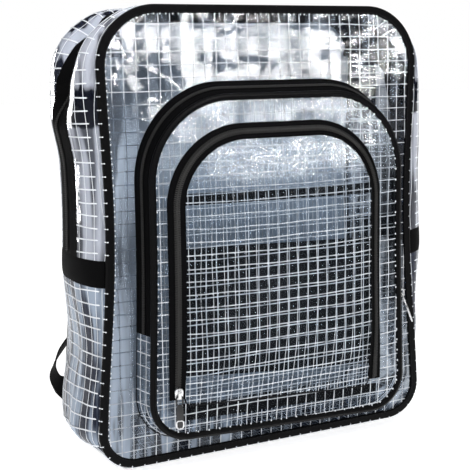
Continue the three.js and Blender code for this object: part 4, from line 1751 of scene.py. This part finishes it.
@dataclass
class SmallPocket:
    """The small pocket on the large one's face, with its arched zip."""

    pocket: MiddlePocket
    crown: float = 6
    band_width: float = 15.5
    coil_half: float = 2.75
    foot: float = 0.8
    full: float = 7
    rise: float = 70
    runner_height: float = 95
    flat: Pair = (0.208, 0.264)
    outline: Outline = Outline(104, 74, 338, 64, 7, bow=1, taper=0.02, slant=-0.06, offset=-7)

    def __post_init__(self) -> None:
        """Derives the face and the zip's ends."""
        self.panel = Panel(self.outline, -0.8, 0.0, -1, self.crown, SMALL_CREASES)
        ends = []
        for side in Side:
            hem = self.outline.bottom + side.value * self.outline.slant * self.outline.half
            ends.append(self.outline.at_height(hem + self.outline.bottom_radius, side))
        self.ends = tuple(ends)

    def stand_off(self, height: Array) -> Array:
        """How far the rim stands off the large pocket's face at a height.

        Args:
            height: The height.

        Returns:
            The stand-off.
        """
        share = np.clip((height - self.outline.bottom) / self.rise, 0, 1)
        return self.foot + (self.full - self.foot) * share * share * (3 - 2 * share)

    def face(self, x: Array, z: Array) -> Array:
        """The face's Y over places in the XZ plane."""
        return self.pocket.face.surface(x, z) - self.stand_off(z) - SHEET + self.panel.folded(x, z)

    def band_point(self, parameter: Array, share: Array, lift: Array | float = 0.0) -> Array:
        """Points of the zip band: share 0 is the face's rim, 1 its outer edge.

        Args:
            parameter: How far round the outline.
            share: Shares of the band's width.
            lift: How far off the face.

        Returns:
            The points.
        """
        place = self.outline.at(parameter)
        out = GAP + share * (self.band_width - GAP)
        x, z = place.x + out * place.nx, place.z + out * place.nz
        stand = self.stand_off(place.z)
        rim = stand + (self.foot - stand) * share
        y = self.pocket.face.surface(x, z) - rim - lift
        return stacked(x, y, z)

    def hem_stitches(self) -> Shell:
        """The dark row of stitches along the hem.

        Returns:
            The shell.
        """
        way = self.outline.length()
        marks = np.arange(self.ends[1], 1 + self.ends[0], 4.6 / way)
        ends = []
        for mark in (marks, marks + 3.9 / way):
            place = self.outline.at(mark)
            x, z = place.x + 0.4 * place.nx, place.z + 0.4 * place.nz
            ends.append(stacked(x, self.face(x, z) - 0.3, z))
        return capsules(*ends, 0.7)

    def build(self, bench: Bench) -> None:
        """Makes and dresses the pocket.

        Args:
            bench: Where pieces are made.
        """
        weave = ThreadGrid(across=11.2, seed=8)
        shell = self.panel.sheet(self.face)
        face = bench.piece("small_face", shell, POCKET, ["small_pocket_panel"])
        woven = weave.woven(self.panel, self.face, (4.0, 1.0), ThreadGrid(wide=0.3, thick=0.3))
        threads = bench.piece("small_face_threads", woven, POCKET_THREAD)
        self.panel.area()
        tape = band_shell(self.band_point, self.ends, (0.0, 1.0), TAPE, 0.0, 300, 21, 0.5)
        bench.piece("small_zip_band", tape, ZIP_TAPE, ["small_pocket_zip_tape"])
        half = self.coil_half / self.band_width
        way = self.outline.length()
        teeth = zip_teeth(self.band_point, self.ends, 0.5, half, 2.4, 0.62, way, 1.7)
        bench.piece("small_zip_teeth", teeth, COIL, ["small_pocket_zip_coil"])
        bench.piece("small_hem_stitches", self.hem_stitches(), SEWING)
        runner = ZipRunner("small", self.band_point, self.outline, self.runner_height, Side.LEFT, 3.9,
                           (0, -1, 0))
        runner.build(bench, "small")
        runner.build_ribbon_tab(bench)


@dataclass
class Organizer:
    """The black cloth behind the large pocket's face."""

    pocket: MiddlePocket
    half: float = 112
    thick: float = 0.9
    rows: tuple[tuple[str, str, Pair, Pair], ...] = (
        ("organizer_cloth", "organizer_panel", (99, -0.08), (232, -0.036)),
        ("organizer_strip", "organizer_band", (275.5, -0.01), (286.5, -0.01)),
        ("organizer_hem_strip", "organizer_hem", (59.5, -0.027), (73.5, -0.06)),
    )

    def build(self, bench: Bench) -> None:
        """Makes and dresses the cloth.

        Args:
            bench: Where pieces are made.
        """
        for name, node, low, high in self.rows:
            x = np.linspace(-self.half, self.half, 90)[:, None]
            share = np.linspace(0, 1, 40 if high[0] - low[0] > 50 else 8)[None, :]
            bottom, top = low[0] + low[1] * x, high[0] + high[1] * x
            z = bottom + (top - bottom) * share
            y = self.pocket.face.surface(x, z) + SHEET + SEAT + 0.5
            slack = 0.6 * np.sin(x / 17) * np.sin(np.pi * share)
            outer, inner = stacked(x, y + slack, z), stacked(x, y + slack + self.thick, z)
            shell = grid(np.concatenate([outer, inner[:, ::-1]], axis=1), wrap_columns=True, capped=True)
            cloth = bench.piece(name, shell, LINING, [node])
            wide, tall = 2 * self.half / 1000, (high[0] - low[0]) / 1000


@dataclass
class ZipRunner:
    """A zip's slider and its hinged tab."""

    name: str
    point: BandPoint
    outline: Outline
    height: float
    side: Side
    lift: float
    facing: Triple
    thick: float = 3.2
    hole: float = 2.8
    bar_shift: float = 1.2
    tab_length: float = 34
    tab_half: float = 4.2
    lean: float = 0.0

    def __post_init__(self) -> None:
        """Finds the slider's own frame and the place of the tab's bar."""
        stops = [np.array(self.outline.at_height(self.height + rise, self.side)) for rise in (-2.5, 2.5)]
        low, high = (self.point(stop, np.array(0.5), self.lift) for stop in stops)
        here = np.array(self.outline.at_height(self.height, self.side))
        self.up = unit(high - low)
        over = self.point(here, np.array(0.0), self.lift) - self.point(here, np.array(1.0), self.lift)
        out = unit(np.cross(over, self.up))
        self.out = out if out @ np.array(self.facing) > 0 else -out
        self.across = np.cross(self.up, self.out)
        self.origin = (low + high) / 2
        self.bar = self.origin - self.bar_shift * self.up + (self.thick + self.hole / 2) * self.out
        self.level = unit(self.across * np.array([1, 1, 0]))
        ahead = np.cross(self.level, np.array([0.0, 0.0, 1.0]))
        turn = math.radians(self.lean)
        self.hang = np.array([0.0, 0.0, math.cos(turn)]) - math.sin(turn) * ahead
        self.ahead = np.cross(self.level, self.hang)

    def on_slider(self, shell: Shell) -> Shell:
        """Sets a shell from the slider's frame into the bag's."""
        shell.points = self.origin + shell.points @ np.stack([self.across, self.up, self.out])
        return shell

    def on_tab(self, shell: Shell) -> Shell:
        """Sets a shell from the tab's frame, with its bar on X, into the bag's."""
        shell.points = self.bar + shell.points @ np.stack([self.level, self.hang, self.ahead])
        return shell

    def slider(self) -> Shell:
        """The slider's two-winged body and its bridge.

        Returns:
            The shell.
        """
        outline = rounded(((-3.5, -6), (3.5, -6), (4.5, 3), (2.25, 6), (-2.25, 6), (-4.5, 3)), 3)
        body = plate(outline, 0.0, self.thick, 0.7)
        top = self.thick + self.hole + 0.6
        bend = rounded(((-3.9, self.thick - 0.4), (-3.9, top), (3.9, top), (3.9, self.thick - 0.4)), 3, False)
        path = np.stack([np.zeros(len(bend)), bend[:, 0], bend[:, 1]], axis=1)
        side = np.tile([1.0, 0.0, 0.0], (len(path), 1))
        return Shell.joined([body, sweep(path, side, ellipse(0.65, 1.5, 10, 0.7))])

    def loop(self, low: float, high: float, half: float, section: Array) -> Shell:
        """A bent loop in the tab's frame.

        Args:
            low: Its lower end.
            high: Its upper end.
            half: Half its width, to the middle of the wire.
            section: The wire's section.

        Returns:
            The shell.
        """
        bend = rounded(((-half, low), (half, low), (half, high), (-half, high)), 2)
        path = np.stack([bend[:, 0], bend[:, 1], np.zeros(len(bend))], axis=1)
        return sweep(path, np.tile([0.0, 0.0, 1.0], (len(path), 1)), section, True)

    def build(self, bench: Bench, node: str) -> None:
        """Makes the slider.

        Args:
            bench: Where pieces are made.
            node: The start of the solid's name.
        """
        bench.piece(f"{self.name}_zip_runner", self.on_slider(self.slider()), METAL,
                    [f"{node}_zip_slider"], sharp=40)

    def build_metal_tab(self, bench: Bench) -> None:
        """Makes a ribbed metal tab.

        Args:
            bench: Where pieces are made.
        """
        end = 0.8 - self.tab_length
        ring = self.loop(-10.4, 0.0, 3.25, ellipse(0.9, 0.75, 10, 0.8))
        half = self.tab_half
        blade = plate(rounded(((-half, end), (half, end), (half, -9.2), (-half, -9.2)), 2), -0.7, 0.7, 0.35)
        marks = np.arange(end + 3.4, -11.5, 2.4)
        ribs = []
        for face in (-0.75, 0.75):
            ribs.append(capsules(stacked(-2.9, marks, face), stacked(2.9, marks, face), 0.42, 8))
        shell = Shell.joined([ring, blade, *ribs])
        bench.piece(f"{self.name}_zip_tab", self.on_tab(shell), METAL, ["mid_zip_pull"],
                    Body.MID_PULL, 40)

    def build_ribbon_tab(self, bench: Bench) -> None:
        """Makes a black ribbon tab with a metal-framed end.

        Args:
            bench: Where pieces are made.
        """
        end = 0.8 - self.tab_length
        half = self.tab_half - 0.6
        ring = self.loop(-9.6, 0.0, 3.1, ellipse(0.8, 0.7, 10, 0.8))
        corners = ((-half, end + 1.4), (half, end + 1.4), (half, -8.4), (-half, -8.4))
        blade = plate(rounded(corners, 2), -0.6, 0.6, 0.3)
        bench.piece("small_zip_ribbon", self.on_tab(Shell.joined([ring, blade])), PLASTIC,
                    ["small_zip_pull"], Body.SMALL_PULL, 40)
        frame = self.loop(end + 0.8, end + 8.6, self.tab_half - 0.75, ellipse(0.75, 0.8, 10, 0.7))
        bench.piece("small_zip_ribbon_end", self.on_tab(frame), METAL, (), Body.SMALL_PULL, 40)


def rounded(corners: Sequence[Pair], rounds: int, closed: bool = True) -> Array:
    """Cuts the corners of a line until it is round.

    Args:
        corners: Its corners.
        rounds: How often they are cut.
        closed: Whether the line returns to its start.

    Returns:
        The rounded line.
    """
    line = np.array(corners, dtype=float)
    for _ in range(rounds):
        ahead = np.roll(line, -1, axis=0)
        cut = np.stack([0.8 * line + 0.2 * ahead, 0.2 * line + 0.8 * ahead], axis=1).reshape(-1, 2)
        line = cut if closed else np.concatenate([line[:1], cut[:-2], line[-1:]])
    return line


def plate(outline: Array, low: float, high: float, bevel: float) -> Shell:
    """A flat plate with rounded rims.

    Args:
        outline: Its outline.
        low: Its lower face.
        high: Its upper face.
        bevel: How far the rims are rounded.

    Returns:
        The shell.
    """
    middle = (outline.min(axis=0) + outline.max(axis=0)) / 2
    inward = bevel * unit(middle - outline)
    layers = []
    for height, share in ((low, 1.0), (low + bevel * 0.3, 0.3), (low + bevel, 0.0),
                          (high - bevel, 0.0), (high - bevel * 0.3, 0.3), (high, 1.0)):
        flat = outline + inward * share
        layers.append(np.concatenate([flat, np.full((len(flat), 1), height)], axis=1))
    return grid(np.stack(layers), wrap_columns=True, capped=True)


def through(places: Array, count: int) -> tuple[Array, Array]:
    """A smooth route through places, centripetal so that it makes no loops.

    Args:
        places: The places.
        count: Points on the route.

    Returns:
        The points, and how far each is along the table of places.
    """
    padded = np.concatenate([2 * places[:1] - places[1:2], places, 2 * places[-1:] - places[-2:-1]])
    spots = np.linspace(0, len(places) - 1, count)
    line = []
    for spot in spots:
        low = min(int(spot), len(places) - 2)
        four = padded[low:low + 4]
        knots = np.concatenate([[0], np.cumsum(np.linalg.norm(np.diff(four, axis=0), axis=1) ** 0.5)])
        t = knots[1] + (spot - low) * (knots[2] - knots[1])
        level = list(four)
        for order in (1, 2, 3):
            pairs = [(i, i + order) if order < 3 else (1, 2) for i in range(4 - order)]
            level = [
                ((knots[last] - t) * level[i] + (t - knots[first]) * level[i + 1])
                / (knots[last] - knots[first])
                for i, (first, last) in enumerate(pairs)
            ]
        line.append(level[0])
    return np.array(line), spots


@dataclass
class ShoulderStrap:
    """One shoulder strap: its pad, adjuster and webbing."""

    body: MainBody
    side: Side
    thick: float = 10
    web_half: float = 12.5
    web_thick: float = 1.8
    lock_width: float = 33
    lock_bar: float = 4
    lock_thick: float = 5
    clear: float = 0.85
    pad_route: tuple[tuple[float, float, float, float], ...] = (
        (52, 8.2, 436, 27), (55, 17, 392, 29), (62, 29, 335, 30), (74, 36, 275, 29), (90, 36, 218, 24),
    )
    web_route: tuple[tuple[float, float, float, float], ...] = (
        (101.4, 35.6, 178, 0), (107.4, 34.8, 157, 0), (134, 30, 138, 30), (166, 26, 116, 55), (185, 23, 97, 60),
        (193, 20, 82, 76), (193.8, 16.5, 70, 108), (188.4, 12, 62, 145), (179, 4.1, 54.5, 180),
    )

    def route(self, table: Sequence[tuple[float, ...]], count: int) -> tuple[Array, Array, Array]:
        """A strap's route with its last column.

        Args:
            table: Rows of X, distance behind the back, height and one more size.
            count: Points on the route.

        Returns:
            The points, their directions and the last column at each.
        """
        rows = np.array(table)
        places = np.stack([self.side.value * rows[:, 0], self.body.depth + rows[:, 1], rows[:, 2]], axis=1)
        line, spots = through(places, count)
        last = np.interp(spots, np.arange(len(rows)), rows[:, 3])
        return line, unit(np.gradient(line, axis=0)), last

    def band(self, line: Array, along: Array, turn: Array, half: Array, section: Array) -> Shell:
        """A flat band swept along a route.

        Args:
            line: Points on the route.
            along: Directions along it.
            turn: Turn about the route in degrees.
            half: Half widths.
            section: The section, its first column in half widths.

        Returns:
            The shell.
        """
        level = unit(np.cross(np.array([0.0, 1.0, 0.0]), along))
        face = unit(np.cross(along, level))
        angle = np.radians(turn)[:, None]
        wide = level * np.cos(angle) + face * np.sin(angle)
        thick = unit(np.cross(along, wide))
        points = line[:, None] + (half[:, None] * section[None, :, 0])[..., None] * wide[:, None]
        points = points + section[None, :, 1:] * thick[:, None]
        return grid(points, wrap_columns=True, capped=True)

    def build(self, bench: Bench) -> None:
        """Makes and dresses the strap.

        Args:
            bench: Where pieces are made.
        """
        name = self.side.name.lower()
        line, along, half = self.route(self.pad_route, 70)
        section = ellipse(1.0, self.thick / 2, 36, 0.5)
        rim = np.abs(section[:, 0])
        section[:, 1] *= 1 - 0.25 * np.exp(-(((rim - 0.84) / 0.04) ** 2))
        pad = bench.piece(f"strap_pad_{name}", self.band(line, along, np.zeros(70), half, section), PAD_CLOTH,
                          [f"shoulder_pad_{name}"])
        web, way, turn = self.route(self.web_route, 130)
        flat = ellipse(1.0, self.web_thick / 2, 28, 0.35)
        flat[:, 1] *= 1 + 0.12 * np.cos(flat[:, 0] * 30)
        bench.piece(f"strap_webbing_{name}",
                    self.band(web, way, self.side.value * turn, np.full(130, self.web_half), flat),
                    WEBBING_WEAVE, [f"webbing_{name}"])
        bench.piece(f"strap_lock_{name}", self.lock(line[-1], web[0]), PLASTIC,
                    [f"ladder_lock_{name}"], sharp=40)

    def lock(self, top: Array, bottom: Array) -> Shell:
        """The adjuster: a rounded frame with a middle bar.

        Args:
            top: The pad's end.
            bottom: The webbing's start.

        Returns:
            The shell.
        """
        along = unit(bottom - top)
        level = unit(np.cross(np.array([0.0, 1.0, 0.0]), along))
        out = np.cross(level, along)
        reach = np.linalg.norm(bottom - top) / 2 - self.clear - self.lock_bar / 2
        half = (self.lock_width - self.lock_bar) / 2
        bend = rounded(((-half, -reach), (half, -reach), (half, reach), (-half, reach)), 2)
        section = ellipse(self.lock_bar / 2, self.lock_thick / 2, 12, 0.6)
        path = np.stack([bend[:, 0], bend[:, 1], np.zeros(len(bend))], axis=1)
        ring = sweep(path, np.tile([0.0, 0.0, 1.0], (len(path), 1)), section, True)
        rod = np.stack([np.linspace(-half, half, 8), np.zeros(8), np.zeros(8)], axis=1)
        bar = sweep(rod, np.tile([0.0, 0.0, 1.0], (8, 1)), section)
        shell = Shell.joined([ring, bar])
        shell.points = (top + bottom) / 2 + shell.points @ np.stack([level, along, out])
        return shell


@dataclass(frozen=True)
class StudioCamera:
    """The photograph's camera: its place in the bag's frame, direction in degrees and lens."""

    x: float = -466.479
    y: float = -908.201
    z: float = 418.449
    yaw: float = 25.29
    pitch: float = 7.57
    roll: float = -0.75
    lens: float = 36 * 1000 / 470
    shift: float = -0.1

    def build(self, bench: Bench) -> None:
        """Sets the scene's camera.

        Args:
            bench: The bench, for its shift.
        """
        yaw, pitch, roll = (math.radians(angle) for angle in (self.yaw, self.pitch, self.roll))
        ahead = Vector((math.sin(yaw) * math.cos(pitch), math.cos(yaw) * math.cos(pitch), -math.sin(pitch)))
        level = Vector((math.cos(yaw), -math.sin(yaw), 0))
        upward = level.cross(ahead)
        right = level * math.cos(roll) + upward * math.sin(roll)
        top = upward * math.cos(roll) - level * math.sin(roll)
        data = bpy.data.cameras.new("studio_camera")
        data.sensor_width = 36
        data.lens = self.lens
        data.shift_y = self.shift
        data.clip_end = 50
        camera = bpy.data.objects.new("studio_camera", data)
        turn = Matrix((right, top, -ahead)).transposed().to_4x4()
        camera.matrix_world = Matrix.Translation(Vector((self.x, self.y, self.z)) * 0.001 + bench.shift) @ turn
        bpy.context.scene.collection.objects.link(camera)
        bpy.context.scene.camera = camera


@dataclass(frozen=True)
class SoftBox:
    """One studio light."""

    name: str
    place: Triple
    aim: Triple
    size: Pair
    power: float
    colour: Colour = (1.0, 1.0, 1.0)
    gloss_only: bool = False

    def build(self, bench: Bench) -> None:
        """Sets the light; one that is for gloss alone shows in the clear sheets and nowhere else.

        Args:
            bench: The bench, for its clear pieces.
        """
        data = bpy.data.lights.new(self.name, "AREA")
        data.shape = "RECTANGLE"
        data.size, data.size_y = self.size
        data.energy = self.power
        data.color = self.colour
        lamp = bpy.data.objects.new(self.name, data)
        lamp.location = self.place
        lamp.rotation_euler = (Vector(self.aim) - Vector(self.place)).to_track_quat("-Z", "Y").to_euler()
        lamp.visible_diffuse = not self.gloss_only
        if self.gloss_only:
            lamp.light_linking.receiver_collection = bench.clear_pieces
        bpy.context.scene.collection.objects.link(lamp)


@dataclass
class Studio:
    """The floor, the lights and the pale surroundings."""

    backdrop: float = 1.0
    ambient: float = 0.15
    overhead: float = 0.7
    overhead_spread: float = 100.0
    floor_half: float = 8.0
    boxes: tuple[SoftBox, ...] = (
        SoftBox("key", (-1.7, -1.6, 1.5), (0, 0, 0.25), (0.4, 1.2), 12.0),
        SoftBox("top", (0.05, -0.55, 1.0), (0, 0.06, 0.4), (0.5, 0.2), 6.0),
        SoftBox("glare", (1.0, -1.75, 0.60), (0, 0, 0.38), (1.7, 0.36), 600.0, gloss_only=True),
        SoftBox("side_glow", (-1.0, 1.5, 0.35), (-0.15, 0, 0.25), (1.2, 1.0), 260.0, gloss_only=True),
    )

    def build(self, bench: Bench) -> None:
        """Sets the floor, surroundings and lights.

        Args:
            bench: Where finishes are made.
        """
        half = self.floor_half
        mesh = bpy.data.meshes.new("floor")
        corners = [(-half, -half, 0), (half, -half, 0), (half, half, 0), (-half, half, 0)]
        mesh.from_pydata(corners, [], [(0, 1, 2, 3)])
        mesh.materials.append(bench.finish(StudioFloor()))
        floor = bpy.data.objects.new("floor", mesh)
        bpy.context.scene.collection.objects.link(floor)
        scene = bpy.context.scene
        scene.world = self.surroundings()
        scene.view_settings.view_transform = "Standard"
        scene.cycles.transparent_max_bounces = 32
        sun = bpy.data.lights.new("overhead", "SUN")
        sun.energy = self.overhead
        sun.angle = math.radians(self.overhead_spread)
        lamp = bpy.data.objects.new("overhead", sun)
        lamp.rotation_euler = (math.radians(12), math.radians(-8), 0)
        scene.collection.objects.link(lamp)
        for box in self.boxes:
            box.build(bench)

    def surroundings(self) -> bpy.types.World:
        """A white backdrop that lights the bag only faintly.

        Returns:
            The world.
        """
        graph = Graph(bpy.data.worlds.new("pale_surroundings"))
        seen = graph.node("ShaderNodeLightPath", output="Is Camera Ray")
        strength = seen * (self.backdrop - self.ambient) + self.ambient
        sockets = {"Color": (1.0, 1.0, 1.0), "Strength": strength}
        return graph.finish(graph.node("ShaderNodeBackground", sockets=sockets))


def main() -> None:
    """Builds the bag piece by piece, then the studio."""
    logging.basicConfig(level=logging.INFO, format="%(message)s")
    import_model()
    low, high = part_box("front_binding")
    shift = Vector(((low[0] + high[0]) / 2, (low[1] + high[1]) / 2, 0.0))
    bench = Bench(shift, bpy.data.collections.new("clear_pieces"))
    body = MainBody()
    body.build(bench)
    pocket = MiddlePocket(body)
    pocket.build(bench)
    SmallPocket(pocket).build(bench)
    Organizer(pocket).build(bench)
    for side in Side:
        ShoulderStrap(body, side).build(bench)
    StudioCamera().build(bench)
    Studio().build(bench)


if __name__ == "__main__":
    main()
